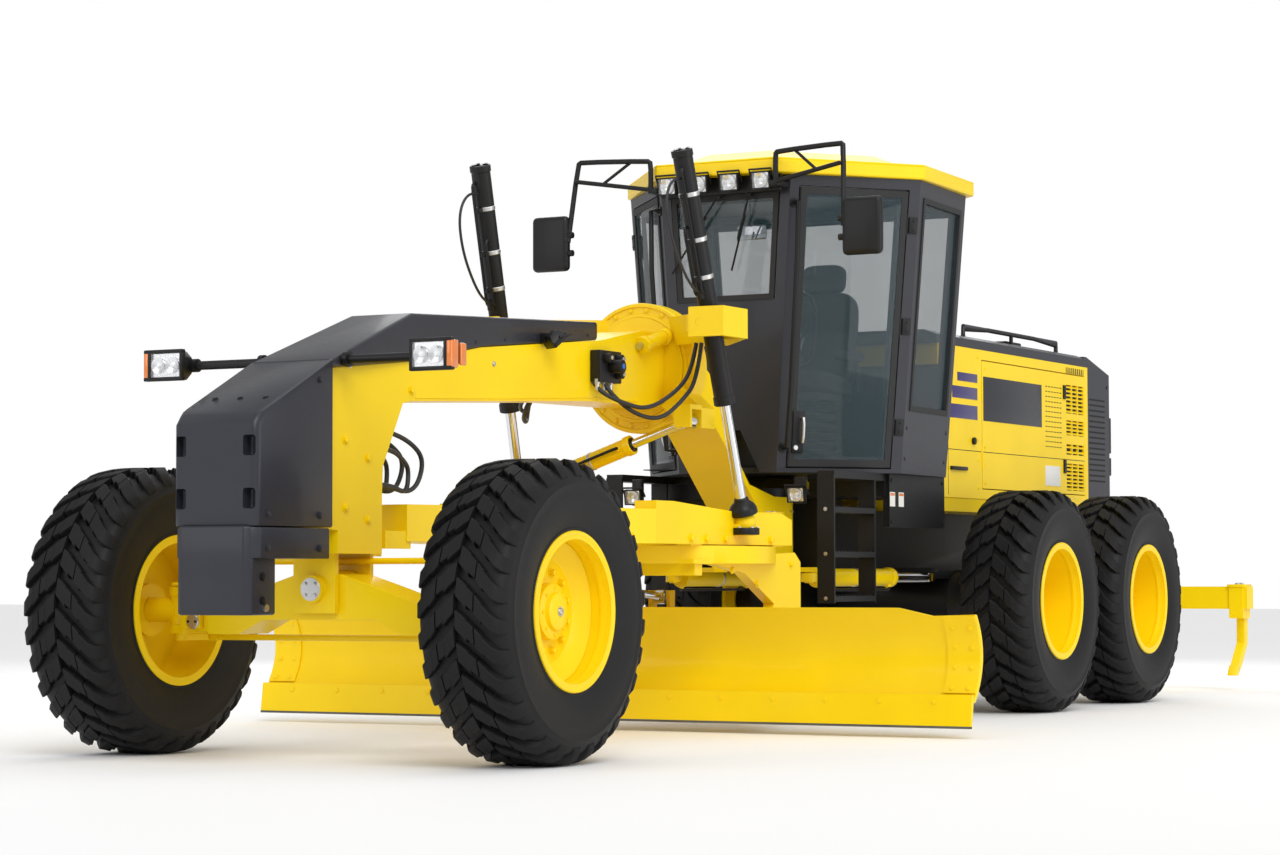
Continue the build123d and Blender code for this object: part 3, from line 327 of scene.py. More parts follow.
def dressed(node, finish, bevel, cut=None):
    """Stands for a CAD node with the same faces, its sharp edges eased as on a pressed or cast piece."""
    shape = Shape()
    shape.mesh.from_mesh(NODES[node].data)
    bmesh.ops.remove_doubles(shape.mesh, verts=shape.mesh.verts, dist=1e-5)
    bmesh.ops.dissolve_limit(shape.mesh, angle_limit=math.radians(0.6), verts=shape.mesh.verts,
                             edges=shape.mesh.edges)
    if cut:
        carve(shape, cut)
    shape.take(shape.mesh.faces[:], finish)
    made = shape.done(node + "_eased", BODY[node], [node], sharp=40)
    ease = made.modifiers.new("ease", "BEVEL")
    ease.width = bevel
    ease.segments = 2
    ease.limit_method = "ANGLE"
    ease.angle_limit = math.radians(28)
    ease.use_clamp_overlap = True
    ease.harden_normals = True
    return made


# ---- tyres and rims -----------------------------------------------------------------------
AXLE_Z = 0.65
TRACK = 1.03
PITCHES = 30
LUG_DEPTH = 0.030
# crown of the lugs' tips: (from the tyre's middle, radius)
CROWN = ((0.0, 0.650), (0.10, 0.650), (0.15, 0.647), (0.175, 0.640), (0.195, 0.622), (0.208, 0.598),
         (0.214, 0.575))


def crown(w):
    """Radius of the lugs' tips at a distance from the tyre's middle."""
    for (w0, r0), (w1, r1) in zip(CROWN, CROWN[1:]):
        if w <= w1:
            return r0 + (r1 - r0) * (w - w0) / (w1 - w0)
    return CROWN[-1][1]


# one lug block: (distance from the middle, lead of its front edge, length), lead and length round the tyre
CENTRE_BLOCK = ((0.004, 0.012, 0.078), (0.030, -0.004, 0.086), (0.055, -0.026, 0.092),
                (0.0551, -0.030, 0.074), (0.088, -0.058, 0.070))
SHOULDER_BLOCK = ((0.094, -0.062, 0.078), (0.125, -0.094, 0.084), (0.1251, -0.100, 0.070),
                  (0.165, -0.142, 0.068), (0.190, -0.160, 0.066), (0.206, -0.166, 0.062),
                  (0.214, -0.168, 0.058))


def lug(shape, stations, side, start):
    """A block of tread whose stations are laid over the crown, with sloped walls and an eased top."""
    foot_slope, ease, ease_drop = 0.006, 0.004, 0.003
    rows = []
    for w, lead, length in stations:
        r_top = crown(w)
        lean = 1.0 if w < 0.17 else max(0.0, 1 - (w - 0.17) / 0.05)
        wall = ((r_top - LUG_DEPTH, foot_slope), (r_top - ease_drop, 0.001), (r_top, -ease))
        ring = [(r, lead + grow) for r, grow in wall] + [(r, lead - length - grow) for r, grow in wall[::-1]]
        rows.append([place_on_tyre(w, r, s, side, start, lean, r_top) for r, s in ring])
    shape.hull(rows, RUBBER)


def place_on_tyre(w, r, s, side, start, lean, r_top):
    """A point of a lug: across, radius and way round, with the shoulder's blocks also sunk sideways."""
    turn = start + s / AXLE_Z
    across = w - (r_top - r) * (1 - lean) * 0.9
    return (side * across, r * math.cos(turn), r * math.sin(turn))


def tyre_mesh():
    """Carcass with its sidewall rings, and two staggered rows of directional lugs."""
    shape = Shape()
    carcass = [
        (0.328, 0.185), (0.338, 0.190), (0.345, 0.196), (0.352, 0.197), (0.358, 0.194), (0.372, 0.199),
        (0.400, 0.208), (0.430, 0.2150), (0.470, 0.2205), (0.500, 0.2220), (0.532, 0.2205), (0.536, 0.2222),
        (0.542, 0.2222), (0.546, 0.2190), (0.566, 0.2130), (0.590, 0.200), (0.604, 0.184), (0.613, 0.160),
        (0.619, 0.120), (0.6205, 0.0),
    ]
    profile = carcass + [(r, -a) for r, a in reversed(carcass[:-1])]
    shape.turn(profile, (0, 0, 0), (1, 0, 0), SIDEWALL, 96)
    pitch = 2 * math.pi / PITCHES
    for i in range(PITCHES):
        for side, shift in ((1, 0.0), (-1, 0.5)):
            for stations in (CENTRE_BLOCK, SHOULDER_BLOCK):
                lug(shape, stations, side, (i + shift) * pitch)
    # it was turned about x, and the axle lies along y
    shape.mesh.transform(Matrix(((0, 1, 0, 0), (1, 0, 0, 0), (0, 0, 1, 0), (0, 0, 0, 1))))
    bmesh.ops.reverse_faces(shape.mesh, faces=shape.mesh.faces)
    bmesh.ops.recalc_face_normals(shape.mesh, faces=shape.mesh.faces)
    mesh = bpy.data.meshes.new("tyre")
    shape.mesh.to_mesh(mesh)
    shape.mesh.free()
    return mesh, shape.finishes


WHEELS = [(x, name, side, word) for x, name in ((0.0, "front"), (-5.7325, "middle"), (-7.2575, "rear"))
          for side, word in SIDES]


def tyres():
    """The same tyre on every wheel, in place of the plain ones."""
    base, finishes = tyre_mesh()
    for x, name, side, word in WHEELS:
        mesh = base.copy()
        mesh.transform(Matrix.Translation((x, side * TRACK, AXLE_Z)))
        label = f"{name}_{word}_tyre"
        finished(mesh, label + "_tread", f"{name}_{word}_wheel", finishes, [label], 32)


def rims():
    """Nuts, hub cap, lock ring, rolled edges and valve on each rim."""
    for x, name, side, word in WHEELS:
        disc = 0.052 if name == "front" else -0.083
        shape = Shape()
        y = side * (TRACK + disc)
        out = (0, side, 0)
        for c, s in circle(12, 0.5):
            shape.bolt((x + 0.170 * c, y, AXLE_Z + 0.170 * s), out, 0.015, YELLOW, 0.024)
        # conical skirt from the disc to the barrel, then the rolled steps of the barrel and the lock ring
        skirt = ((0.225, 0.0), (0.235, 0.004), (0.268, 0.030), (0.298, 0.052), (0.305, 0.052), (0.305, 0.0))
        shape.turn(skirt, (x, y, AXLE_Z), out, YELLOW, 72)
        steps = ((0.3050, 0.140), (0.3020, 0.148), (0.3020, 0.160), (0.3050, 0.166), (0.3050, 0.188),
                 (0.322, 0.200), (0.330, 0.2035), (0.338, 0.203), (0.3425, 0.197), (0.3425, 0.188))
        shape.turn(steps, (x, side * TRACK, AXLE_Z), out, YELLOW, 96)
        # hub: cap with its own bolts
        cap = ((0.0, 0.072), (0.060, 0.072), (0.078, 0.064), (0.084, 0.048), (0.112, 0.044), (0.1195, 0.039),
               (0.1195, 0.0))
        shape.turn(cap, (x, y, AXLE_Z), out, YELLOW, 56)
        for c, s in circle(8):
            spot = (x + 0.099 * c, y + side * 0.0445, AXLE_Z + 0.099 * s)
            shape.bolt(spot, out, 0.008, YELLOW, 0.006, washer=False)
        shape.bolt((x, y + side * 0.072, AXLE_Z), out, 0.016, STEEL, 0.010)
        # valve stem through the disc's edge
        stem = ((0.262, 0.012, 0.06), (0.268, 0.07, 0.062), (0.255, 0.10, 0.058))
        shape.tube([(x + dx, y + side * dy, AXLE_Z + dz) for dx, dy, dz in stem], 0.006, STEEL, 10, 1)
        shape.done(f"{name}_{word}_wheel_trim", f"{name}_{word}_wheel")


# ---- front block, lamps and frame ---------------------------------------------------------
FRONT = BODY["front_frame"]
REAR = BODY["rear_frame"]
BLOCK_HALF, FRAME_HALF = 0.215, 0.155


def front_block():
    """Counterweight with chamfered corners and four pockets, and the cover that tapers back from it."""
    shape = Shape()
    shape.prism("y", -BLOCK_HALF, BLOCK_HALF,
                [(0.88, 1.010), (0.88, 1.440), (0.85, 1.480), (0.32, 1.736), (0.32, 1.010)], CHARCOAL, 0)
    corners = [e for e in shape.mesh.edges if all(v.co.x > 0.849 and abs(v.co.y) > 0.21 for v in e.verts)
               and abs(e.verts[0].co.y - e.verts[1].co.y) < 0.01]
    bmesh.ops.bevel(shape.mesh, geom=corners, offset=0.034, segments=3, profile=0.5, affect="EDGES",
                    material=-1)
    shape.take(shape.mesh.faces[:], CHARCOAL, 0.008, 2, 40)
    pockets = Shape()
    for side in (1, -1):
        for z in (1.125, 1.345):
            pockets.side_box(side, (0.822, 0.92), (0.146, 0.203), (z - 0.043, z + 0.043), PAINTED_SHADE_AND_SEAM, 0.012, 3)
    carve(shape, pockets)
    # step below the block and the toe in front of the axle
    plan = [(0.345, -BLOCK_HALF), (0.846, -BLOCK_HALF), (0.880, -0.185), (0.880, 0.185), (0.846, BLOCK_HALF),
            (0.345, BLOCK_HALF)]
    shape.prism("z", 0.876, 1.006, plan, CHARCOAL, 0.006)
    toe = [(0.703, -0.19), (0.872, -0.19), (0.90, -0.165), (0.90, 0.165), (0.872, 0.19), (0.703, 0.19)]
    shape.prism("z", 0.640, 1.012, toe, CHARCOAL, 0.012, 3)
    # cover: place along the frame, half width, underside, top
    sections = ((0.338, 0.2099, 1.7010, 1.731), (0.220, 0.2037, 1.7060, 1.773),
                (-0.375, 0.1719, 1.7670, 1.986), (-0.450, 0.1680, 1.7780, 1.990),
                (-0.980, 0.1623, 1.8710, 2.016), (-2.112, 0.1501, 1.9800, 2.071))
    shape.hull([[(x, -half, low), (x, half, low), (x, half, high), (x, -half, high)]
                for x, half, low, high in sections], CHARCOAL, 0.014, 3)
    slope = (0.435, 0, 0.90)
    for y in (-0.13, 0.0, 0.13):
        shape.bolt((0.70, y, 1.5525), slope, 0.011, CHARCOAL)
    for side in (1, -1):
        for x, z in ((0.42, 1.06), (0.80, 1.06), (0.42, 1.64), (0.42, 0.92), (0.80, 0.92)):
            shape.side_bolt(side, (x, BLOCK_HALF, z), 0.012, CHARCOAL)
        for z in (0.70, 0.80):
            shape.side_bolt(side, (0.80, 0.19, z), 0.014, BLACK)
    # towing pin across the toe
    shape.bar((0.78, -0.2, 0.67), (0.78, 0.2, 0.67), 0.016, STEEL)
    shape.done("front_block", FRONT, ["counterweight_and_cover"])


LAMP_Y, LAMP_Z = 0.702, 1.739


def shape_of_lamp(side):
    """Tapered housing of a headlamp on its arm, and the arm's foot on the cover."""
    shape = Shape()
    shape.bar((0.225, side * 0.211, 1.738), (0.225, side * 0.640, 1.738), 0.020, BLACK)
    shape.side_box(side, (0.195, 0.245), (0.2053, 0.221), (1.710, 1.745), BLACK)
    rings = []
    # housing: place along the machine, half width, half height
    for x, half, rise in ((0.191, 0.040, 0.020), (0.200, 0.075, 0.042), (0.235, 0.100, 0.064),
                          (0.2965, 0.1025, 0.065)):
        cut = rise * 0.45
        ring = [(-half, -rise + cut), (-half + cut, -rise), (half - cut, -rise), (half, -rise + cut),
                (half, rise - cut), (half - cut, rise), (-half + cut, rise), (-half, rise - cut)]
        rings.append([(x, side * (LAMP_Y + a), LAMP_Z + b) for a, b in ring])
    shape.hull(rings, BLACK, 0.003)
    return shape


def headlamps():
    """Bezel, bowls and clear lens of each headlamp, with the amber flashers on its outer side."""
    for side, word in SIDES:
        shape = shape_of_lamp(side)

        def part(x0, x1, y0, y1, z0, z1, finish, bevel=0.004):
            y, z = (LAMP_Y + y0, LAMP_Y + y1), (LAMP_Z + z0, LAMP_Z + z1)
            shape.side_box(side, (x0, x1), y, z, finish, bevel)

        for y0, y1, z0, z1 in ((-0.106, 0.106, 0.052, 0.070), (-0.106, 0.106, -0.070, -0.052),
                               (-0.106, -0.090, -0.06, 0.06), (0.066, 0.084, -0.06, 0.06)):
            part(0.288, 0.318, y0, y1, z0, z1, BLACK, 0.005)
        part(0.2965, 0.3045, -0.092, 0.068, -0.054, 0.054, REFLECTOR, 0)
        for y in (-0.050, 0.028):
            spot = (0.305, side * (LAMP_Y + y), LAMP_Z)
            bowl = ((0.0, 0.001), (0.016, 0.003), (0.030, 0.008), (0.036, 0.010), (0.037, 0.0))
            shape.turn(bowl, spot, (1, 0, 0), REFLECTOR, 28)
            bulb = ((0.0, 0.012), (0.010, 0.010), (0.014, 0.004), (0.014, 0.0))
            shape.turn(bulb, spot, (1, 0, 0), LENS, 20)
        part(0.3125, 0.3155, -0.091, 0.067, -0.053, 0.053, CLEAR, 0.001)
        part(0.255, 0.3170, 0.078, 0.1075, -0.060, 0.060, AMBER, 0.008)
        part(0.200, 0.2450, 0.098, 0.1120, -0.048, 0.048, AMBER, 0.006)
        # clamp on the arm and the collar at its foot
        shape.bar((0.225, side * 0.575, LAMP_Z), (0.225, side * 0.61, LAMP_Z), 0.03, BLACK)
        shape.bar((0.225, side * 0.212, LAMP_Z), (0.225, side * 0.235, LAMP_Z), 0.034, BLACK)
        for z in (-0.03, 0.0):
            shape.side_bolt(side, (0.205, 0.222, LAMP_Z + z), 0.007, STEEL)
        shape.done(f"{word}_headlamp", FRONT, ["headlamps"])


def frame_fittings():
    """Bolt heads, weld beads, cover screws and grease fittings on the front frame."""
    shape = Shape()
    for side in (1, -1):
        for x, z in ((-0.385, 1.639), (0.139, 1.394), (-0.038, 1.321), (0.139, 1.10), (-0.038, 1.05)):
            shape.side_bolt(side, (x, FRAME_HALF, z), 0.017, YELLOW)
        for x, z in ((-1.10, 1.80), (-2.20, 1.86)):
            shape.side_bolt(side, (x, FRAME_HALF, z), 0.010, STEEL)
        # weld bead along the foot of the beam's side plate
        bead = [(-0.42, 1.606), (-1.2, 1.643), (-1.97, 1.686), (-2.5, 1.692)]
        shape.tube([(x, side * 0.1555, z) for x, z in bead], 0.004, YELLOW, 8)
        # cover screws along the seam with the frame
        for step in range(9):
            x = 0.15 - 0.27 * step
            half = 0.21 - 0.042 * min(1.0, (0.34 - x) / 0.79) - (0.018 * max(0.0, -x - 0.45) / 1.67)
            seam = 1.712 - 0.103 * (x - 0.22) if x > -0.4 else 1.776 + 0.174 * (-0.4 - x)
            if x < -0.98:
                seam = 1.877 + 0.0956 * (-0.98 - x)
            shape.side_bolt(side, (x, half - 0.001, seam + 0.022), 0.007, CHARCOAL, 0.005)
        # grease fittings on the hitch barrel
        shape.bar((-4.30, side * FRAME_HALF, 1.16), (-4.30, side * 0.175, 1.16), 0.006, STEEL)
    shape.done("frame_bolts", FRONT)


def work_lamp(shape, spot, aim, width, height):
    """A square work lamp in its hoop: housing, bright bowl and clear lens, looking along aim."""
    aim = Vector(aim).normalized()
    across = aim.cross(Vector((0, 0, 1))).normalized()
    up = across.cross(aim)
    spot = Vector(spot)

    def plate(ahead, w, h, down=None, left=None):
        """Corners of a rectangle, whole or between two limits of its width or height."""
        low, high = down or (-1, 1)
        near, far = left or (-1, 1)
        return [spot + aim * ahead + across * a * w / 2 + up * b * h / 2
                for a, b in ((near, low), (far, low), (far, high), (near, high))]

    shape.hull([plate(-0.055, width * 0.6, height * 0.6), plate(-0.022, width, height),
                plate(-0.016, width, height)], BLACK, 0.004)
    for limits in ({"down": (0.84, 1)}, {"down": (-1, -0.84)}, {"left": (0.86, 1)}, {"left": (-1, -0.86)}):
        rail = [plate(ahead, width, height, **limits) for ahead in (-0.018, 0.004)]
        shape.hull(rail, BLACK, 0.001)
    clear = (width * 0.88, height * 0.88)
    shape.hull([plate(-0.0165, *clear), plate(-0.014, *clear)], REFLECTOR, 0)
    bowl = min(width, height) * 0.42
    shape.turn(((0.0, -0.0125), (bowl * 0.4, -0.011), (bowl * 0.8, -0.006), (bowl, -0.001),
                (bowl * 1.02, -0.0145)), spot, aim, REFLECTOR, 28)
    shape.turn(((0.0, -0.001), (bowl * 0.25, -0.003), (bowl * 0.3, -0.011)), spot, aim, LENS, 16)
    shape.hull([plate(0.0, *clear), plate(0.0025, *clear)], CLEAR, 0)
    wide, high, back = across * width * 0.58, up * height * 0.62, aim * 0.03
    hoop = [spot - back - wide, spot - wide + high, spot + wide + high, spot - back + wide]
    shape.tube(hoop, 0.006, BLACK, 8)


def frame_lamps():
    """Work lamp on each side of the front frame, aimed at the blade."""
    shape = Shape()
    for side in (1, -1):
        work_lamp(shape, (-1.56, side * 0.235, 1.93), (-0.55, side * 0.35, -0.75), 0.10, 0.09)
        shape.side_box(side, (-1.60, -1.53), (0.154, 0.20), (1.925, 1.975), BLACK)
    shape.done("frame_work_lamps", FRONT)


def front_axle_fittings():
    """Caps of the axle's pivot, and of each yoke's lean and steering pins."""
    shape = Shape()
    pivot_z = 0.745
    cap = ((0.0, 0.006), (0.05, 0.006), (0.056, 0.0), (0.056, -0.03))
    for x, way in ((0.175, 1), (-0.175, -1)):
        shape.turn(cap, (x, 0, pivot_z), (way, 0, 0), STEEL, 32)
        for c, s in circle(4, 0.5):
            spot = (x + way * 0.006, 0.035 * c, pivot_z + 0.035 * s)
            shape.bolt(spot, (way, 0, 0), 0.008, STEEL, washer=False)
    shape.done("axle_pivot_cap", FRONT)
    lean_cap = ((0.0, 0.010), (0.030, 0.010), (0.034, 0.006), (0.034, -0.004))
    steer_cap = ((0.0, 0.012), (0.04, 0.012), (0.048, 0.004), (0.048, -0.004))
    for side, word in SIDES:
        shape = Shape()
        for way in (1, -1):
            x = way * 0.086
            shape.turn(lean_cap, (x, side * 0.70, 0.60), (way, 0, 0), STEEL, 24)
            for y in (-0.02, 0.02):
                spot = (x + way * 0.010, side * 0.70 + y, 0.60)
                shape.bolt(spot, (way, 0, 0), 0.006, BLACK, washer=False)
        shape.turn(steer_cap, (0, side * 0.83, 0.764), (0, 0, 1), YELLOW, 24)
        shape.done(f"{word}_yoke_pins", BODY[f"{word}_yoke"])


# ---- hydraulic hoses ----------------------------------------------------------------------
def hose(name, body, route, diameter=0.022):
    """A hose on one smooth line from the first point of its route to the last."""
    line = bpy.data.curves.new(name, "CURVE")
    line.dimensions = "3D"
    spline = line.splines.new("NURBS")
    spline.points.add(len(route) - 1)
    for point, spot in zip(spline.points, route):
        point.co = (*spot, 1)
    spline.order_u = 3
    spline.use_endpoint_u = True
    line.resolution_u = 10
    made = placed(name, line)
    bpy.context.view_layer.update()
    bare = bpy.data.meshes.new_from_object(made)
    bpy.data.meshes.remove(bare)
    line.bevel_depth = diameter / 2
    line.bevel_resolution = 3
    line.use_fill_caps = True
    line.materials.append(HOSE)
    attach(made, body)
    return made


def fitting(shape, spot, aim, radius=0.015):
    """Steel swage and nut where a hose is screwed in, standing along aim."""
    spot, aim = Vector(spot), Vector(aim).normalized()
    shape.bar(spot - aim * 0.012, spot + aim * 0.012, radius * 1.25, STEEL, 6)
    shape.bar(spot + aim * 0.012, spot + aim * 0.045, radius, STEEL, 14)


def column_hoses():
    """Bundle of hoses that hangs behind the front column, between its upper and lower ports."""
    ports = Shape()
    # place across the column, height of the upper port, how far back the loop hangs, its lowest height
    for count, (y, top, back, low) in enumerate((
            (-0.115, 1.43, 0.34, 1.20), (-0.07, 1.36, 0.28, 1.18), (-0.025, 1.45, 0.40, 1.19),
            (0.025, 1.38, 0.30, 1.20), (0.07, 1.46, 0.42, 1.19), (0.115, 1.37, 0.34, 1.19))):
        face, sway = -0.152, 0.02 * (-1) ** count
        fitting(ports, (face, y, top), (-1, 0, 0))
        fitting(ports, (face, y * 0.9, low + 0.02), (-1, 0, 0))
        hose(f"column_hose_{count}", FRONT, [
            (face - 0.012, y, top), (face - 0.14, y, top), (face - back * 0.8, y + sway, top - 0.05),
            (face - back, y + 2 * sway, (top + low) / 2), (face - back * 0.85, y + sway, low - 0.02),
            (face - 0.15, y * 0.9, low + 0.02), (face - 0.012, y * 0.9, low + 0.02)])
    ports.box((-0.158, -0.14, 1.33), (-0.149, 0.14, 1.49), BLACK, 0.003)
    ports.done("column_ports", FRONT)


# ---- saddle and lift cylinders ------------------------------------------------------------
LIFT_BALL, LIFT_TOP = Vector((-2.740, 0.654, 1.074)), Vector((-2.185, 0.588, 2.912))
LIFT_WAY = (LIFT_TOP - LIFT_BALL).normalized()
LIFT_FRONT = (Vector((1, 0, 0)) - LIFT_WAY * LIFT_WAY.x).normalized()
LIFT_SIDE = LIFT_WAY.cross(LIFT_FRONT)


def lift_spot(share, front=0.0, out=0.0):
    """A point beside the left lift cylinder: share of its line, metres to its front and outward."""
    return LIFT_BALL.lerp(LIFT_TOP, share) + LIFT_FRONT * front + LIFT_SIDE * out


def collar(shape, start, end, inner, outer, finish, sides=32):
    """A ring from start to end, open in its middle."""
    start, end = Vector(start), Vector(end)
    length = (end - start).length
    edge = min(0.003, length / 4)
    profile = ((inner, 0.0), (outer - edge, 0.0), (outer, edge), (outer, length - edge),
               (outer - edge, length), (inner, length))
    shape.turn(profile, start, end - start, finish, sides, closed=True)


def lift_cylinders():
    """Gland, cap, hard lines with their clamps and the cup over the ball, for both lift cylinders."""
    for side, word in SIDES:
        shape = Shape()

        def beside(*where):
            return mirror(lift_spot(*where), side)

        # gland nut at the barrel's foot and cap with its four bolts at the top
        for low, high, inner in ((0.322, 0.345, 0.033), (0.985, 1.003, 0.044)):
            collar(shape, beside(low), beside(high), inner, 0.055, BLACK)
        way = mirror(LIFT_WAY, side)
        for c, s in circle(4, 0.5):
            shape.bolt(beside(1.004, 0.034 * c, 0.034 * s), way, 0.009, STEEL, washer=False)
        # two hard lines up the front, bent in to the ports: (outward, share at the foot, share at the top)
        for out, low, high in ((0.016, 0.625, 0.955), (-0.022, 0.625, 0.80)):
            line = ((low, 0.060), (low + 0.008, 0.074), (low + 0.03, 0.074), (high - 0.02, 0.074),
                    (high, 0.070), (high + 0.004, 0.045))
            shape.tube([beside(share, front, out) for share, front in line], 0.0085, BLACK, 10, 1)
        for share in (0.66, 0.76, 0.88):
            collar(shape, beside(share), beside(share + 0.012), 0.049, 0.0530, STEEL)
            shape.bar(beside(share, 0.066), beside(share + 0.012, 0.066), 0.020, BLACK, 12, 0.002)
        # port block in front of the barrel, above its trunnion
        shape.bar(beside(0.612, 0.062), beside(0.640, 0.062), 0.020, BLACK, 16, 0.003)
        shape.done(f"{word}_lift_lines", BODY[f"{word}_lift_barrel"])

        shape = Shape()
        foot = mirror(LIFT_BALL, side)
        cup = ((0.030, 0.128), (0.036, 0.126), (0.040, 0.108), (0.060, 0.092), (0.072, 0.070),
               (0.074, 0.048), (0.070, 0.040), (0.060, 0.052), (0.040, 0.072))
        shape.turn(cup, foot, way, BLACK, 36, closed=True)
        shape.done(f"{word}_lift_cup", BODY[f"{word}_lift_rod"])

        # cap plate and bolts round the ball's seat on the drawbar
        shape = Shape()
        shape.bar(foot + Vector((0, 0, -0.066)), foot + Vector((0, 0, -0.030)), 0.074, BLACK, 32, 0.004)
        for c, s in circle(6):
            shape.bolt(foot + Vector((0.062 * c, 0.062 * s, -0.030)), (0, 0, 1), 0.008, STEEL)
        shape.done(f"{word}_ball_seat", BODY["drawbar"])


def lift_hoses():
    """Two hoses from the frame to each of the saddle's arms, and a loop along each lift barrel."""
    for side, word in SIDES:
        for count in (0, 1):
            x, y, low = -2.03 - 0.07 * count, 0.17 + 0.02 * count, 1.66 - 0.05 * count
            spread = 0.03 * count
            route = ((x, y, 1.765), (x + 0.005, y + 0.03, 1.72), (x - 0.06, y + 0.13, low),
                     (x - 0.22, 0.36 + spread, low - 0.03), (-2.44, 0.42 + spread, low + 0.07),
                     (-2.55, 0.45 + spread, low + 0.18), (-2.60, 0.45 + spread, 1.985))
            hose(f"{word}_lift_feed_{count}", FRONT, [(x, side * y, z) for x, y, z in route])
        top, low = lift_spot(0.93, 0.052), lift_spot(0.63, 0.056)
        route = [top, top + LIFT_FRONT * 0.09 + LIFT_WAY * 0.03, top + LIFT_FRONT * 0.21 - LIFT_WAY * 0.06,
                 lift_spot(0.80, 0.27), lift_spot(0.70, 0.20), low + LIFT_FRONT * 0.06 + LIFT_WAY * 0.02, low]
        hose(f"{word}_lift_loop", BODY[f"{word}_lift_barrel"], [mirror(spot, side) for spot in route], 0.014)


RING_X, RING_Z = -2.815, 1.885


def saddle_fittings():
    """Rim bolts and ribs of the saddle ring, its lock-pin cylinder and the valve blocks on the frame."""
    shape = Shape()
    ring, pin_y = (RING_X, 0, RING_Z), 0.175
    for c, s in circle(20, 0.5):
        shape.bolt((RING_X, 0.305 * c, RING_Z + 0.305 * s), (1, 0, 0), 0.012, YELLOW)
    shape.turn(((0.262, 0.0), (0.268, 0.007), (0.284, 0.007), (0.288, 0.0)), ring, (1, 0, 0), YELLOW, 72)
    shape.turn(((0.318, 0.0), (0.322, 0.010), (0.338, 0.010), (0.342, 0.0)), ring, (1, 0, 0), YELLOW, 72)
    # lock-pin cylinder on the ring's upper left: (from, to, radius) as (x, z) at one place across
    for (x0, z0), (x1, z1), radius in (((-2.745, 2.035), (-2.545, 1.985), 0.036),
                                       ((-2.560, 1.989), (-2.515, 1.978), 0.046),
                                       ((-2.745, 2.035), (-2.780, 2.044), 0.044)):
        shape.bar((x0, pin_y, z0), (x1, pin_y, z1), radius, YELLOW, 28, 0.004)
    shape.bar((-2.515, pin_y, 1.978), (-2.490, pin_y, 1.972), 0.018, STEEL, 20)
    # valve block with its coil on each of the frame's sides
    for side in (1, -1):
        shape.side_box(side, (-2.24, -2.02), (0.154, 0.215), (1.765, 1.925), BLACK, 0.006)
        for x, z in ((-2.19, 1.885), (-2.19, 1.81), (-2.07, 1.885)):
            shape.bar((x, side * 0.21, z), (x, side * 0.25, z), 0.024, BLACK, 20, 0.003)
            shape.side_bolt(side, (x, 0.25, z), 0.012, STEEL, washer=False)
        shape.bar((-2.13, side * 0.21, 1.845), (-2.13, side * 0.285, 1.845), 0.034, BLACK, 24, 0.004)
        shape.bar((-2.13, side * 0.284, 1.845), (-2.13, side * 0.288, 1.845), 0.014, BLUE, 20)
        for x in (-2.03, -2.10, -2.165):
            fitting(shape, (x, side * 0.19, 1.768), (0, 0, -1), 0.012)
    shape.done("saddle_fittings", FRONT)


# ---- work gear ----------------------------------------------------------------------------
BLADE_X, BLADE_Y, BLADE_HALF = -2.750, -0.225, 2.115
BLADE_LOW, BLADE_TOP, BLADE_BOW = 0.175, 0.640, 0.105


def blade_face(z, ahead=0.0):
    """The blade's hollow front face at a height, and metres ahead of it."""
    rise = (z - (BLADE_LOW + BLADE_TOP) / 2) / ((BLADE_TOP - BLADE_LOW) / 2)
    return BLADE_X - 0.012 - BLADE_BOW * (1 - rise ** 2) + ahead


def blade_normal(z):
    """The way the blade's front face looks at a height."""
    step = 0.004
    return Vector((step * 2, 0, -(blade_face(z + step) - blade_face(z - step)))).normalized()


def blade_dips():
    """What the moldboard's top edge lacks at each end."""
    cut = Shape()
    for way in (1, -1):
        end = BLADE_Y + way * BLADE_HALF
        # (outward from the blade's end, above its top edge)
        outline = ((-0.40, 0.02), (-0.40, 0.0), (-0.23, -0.04), (0.01, -0.032), (0.01, 0.02))
        outline = [(end + way * out, BLADE_TOP + up) for out, up in outline]
        cut.prism("x", BLADE_X - 0.30, BLADE_X + 0.02, outline, YELLOW, 0)
    return cut


def blade_fittings():
    """End bits with their bolts, plough bolts along the cutting edge, its seam and its bright lip."""
    shape = Shape()
    for way in (1, -1):
        end = BLADE_Y + way * BLADE_HALF
        heights = [0.222 + 0.0475 * step for step in range(9)]
        y0, y1 = sorted((end - way * 0.003, end - way * 0.175))
        near, thick = 0.0005, 0.011
        rows = [[(blade_face(z, near), y0, z), (blade_face(z, near), y1, z), (blade_face(z, thick), y1, z),
                 (blade_face(z, thick), y0, z)] for z in heights]
        shape.hull(rows, YELLOW)
        for z in (0.245, 0.345, 0.445, 0.540):
            for inset, radius, height in ((0.045, 0.013, 0.008), (0.135, 0.011, 0.006)):
                spot = (blade_face(z, thick), end - way * inset, z)
                shape.bolt(spot, blade_normal(z), radius, YELLOW, height)
    count, margin = 14, 0.20
    for step in range(count):
        y = BLADE_Y - BLADE_HALF + margin + 2 * (BLADE_HALF - margin) * step / (count - 1)
        shape.bar((-2.7385, y, 0.180), (-2.7310, y, 0.1805), 0.014, YELLOW, 16, 0.002)
    # seam between the edge's two halves and its worn bright lip
    for half, (x0, x1), (z0, z1), finish, bevel in (
            (0.002, (-2.7365, -2.7195), (0.052, 0.214), PAINTED_SHADE_AND_SEAM, 0),
            (BLADE_HALF, (-2.7402, -2.7193), (0.0502, 0.062), EDGE_STEEL, 0.001)):
        shape.box((x0, BLADE_Y - half, z0), (x1, BLADE_Y + half, z1), finish, bevel)
    shape.done("blade_bolts", BODY["moldboard"])


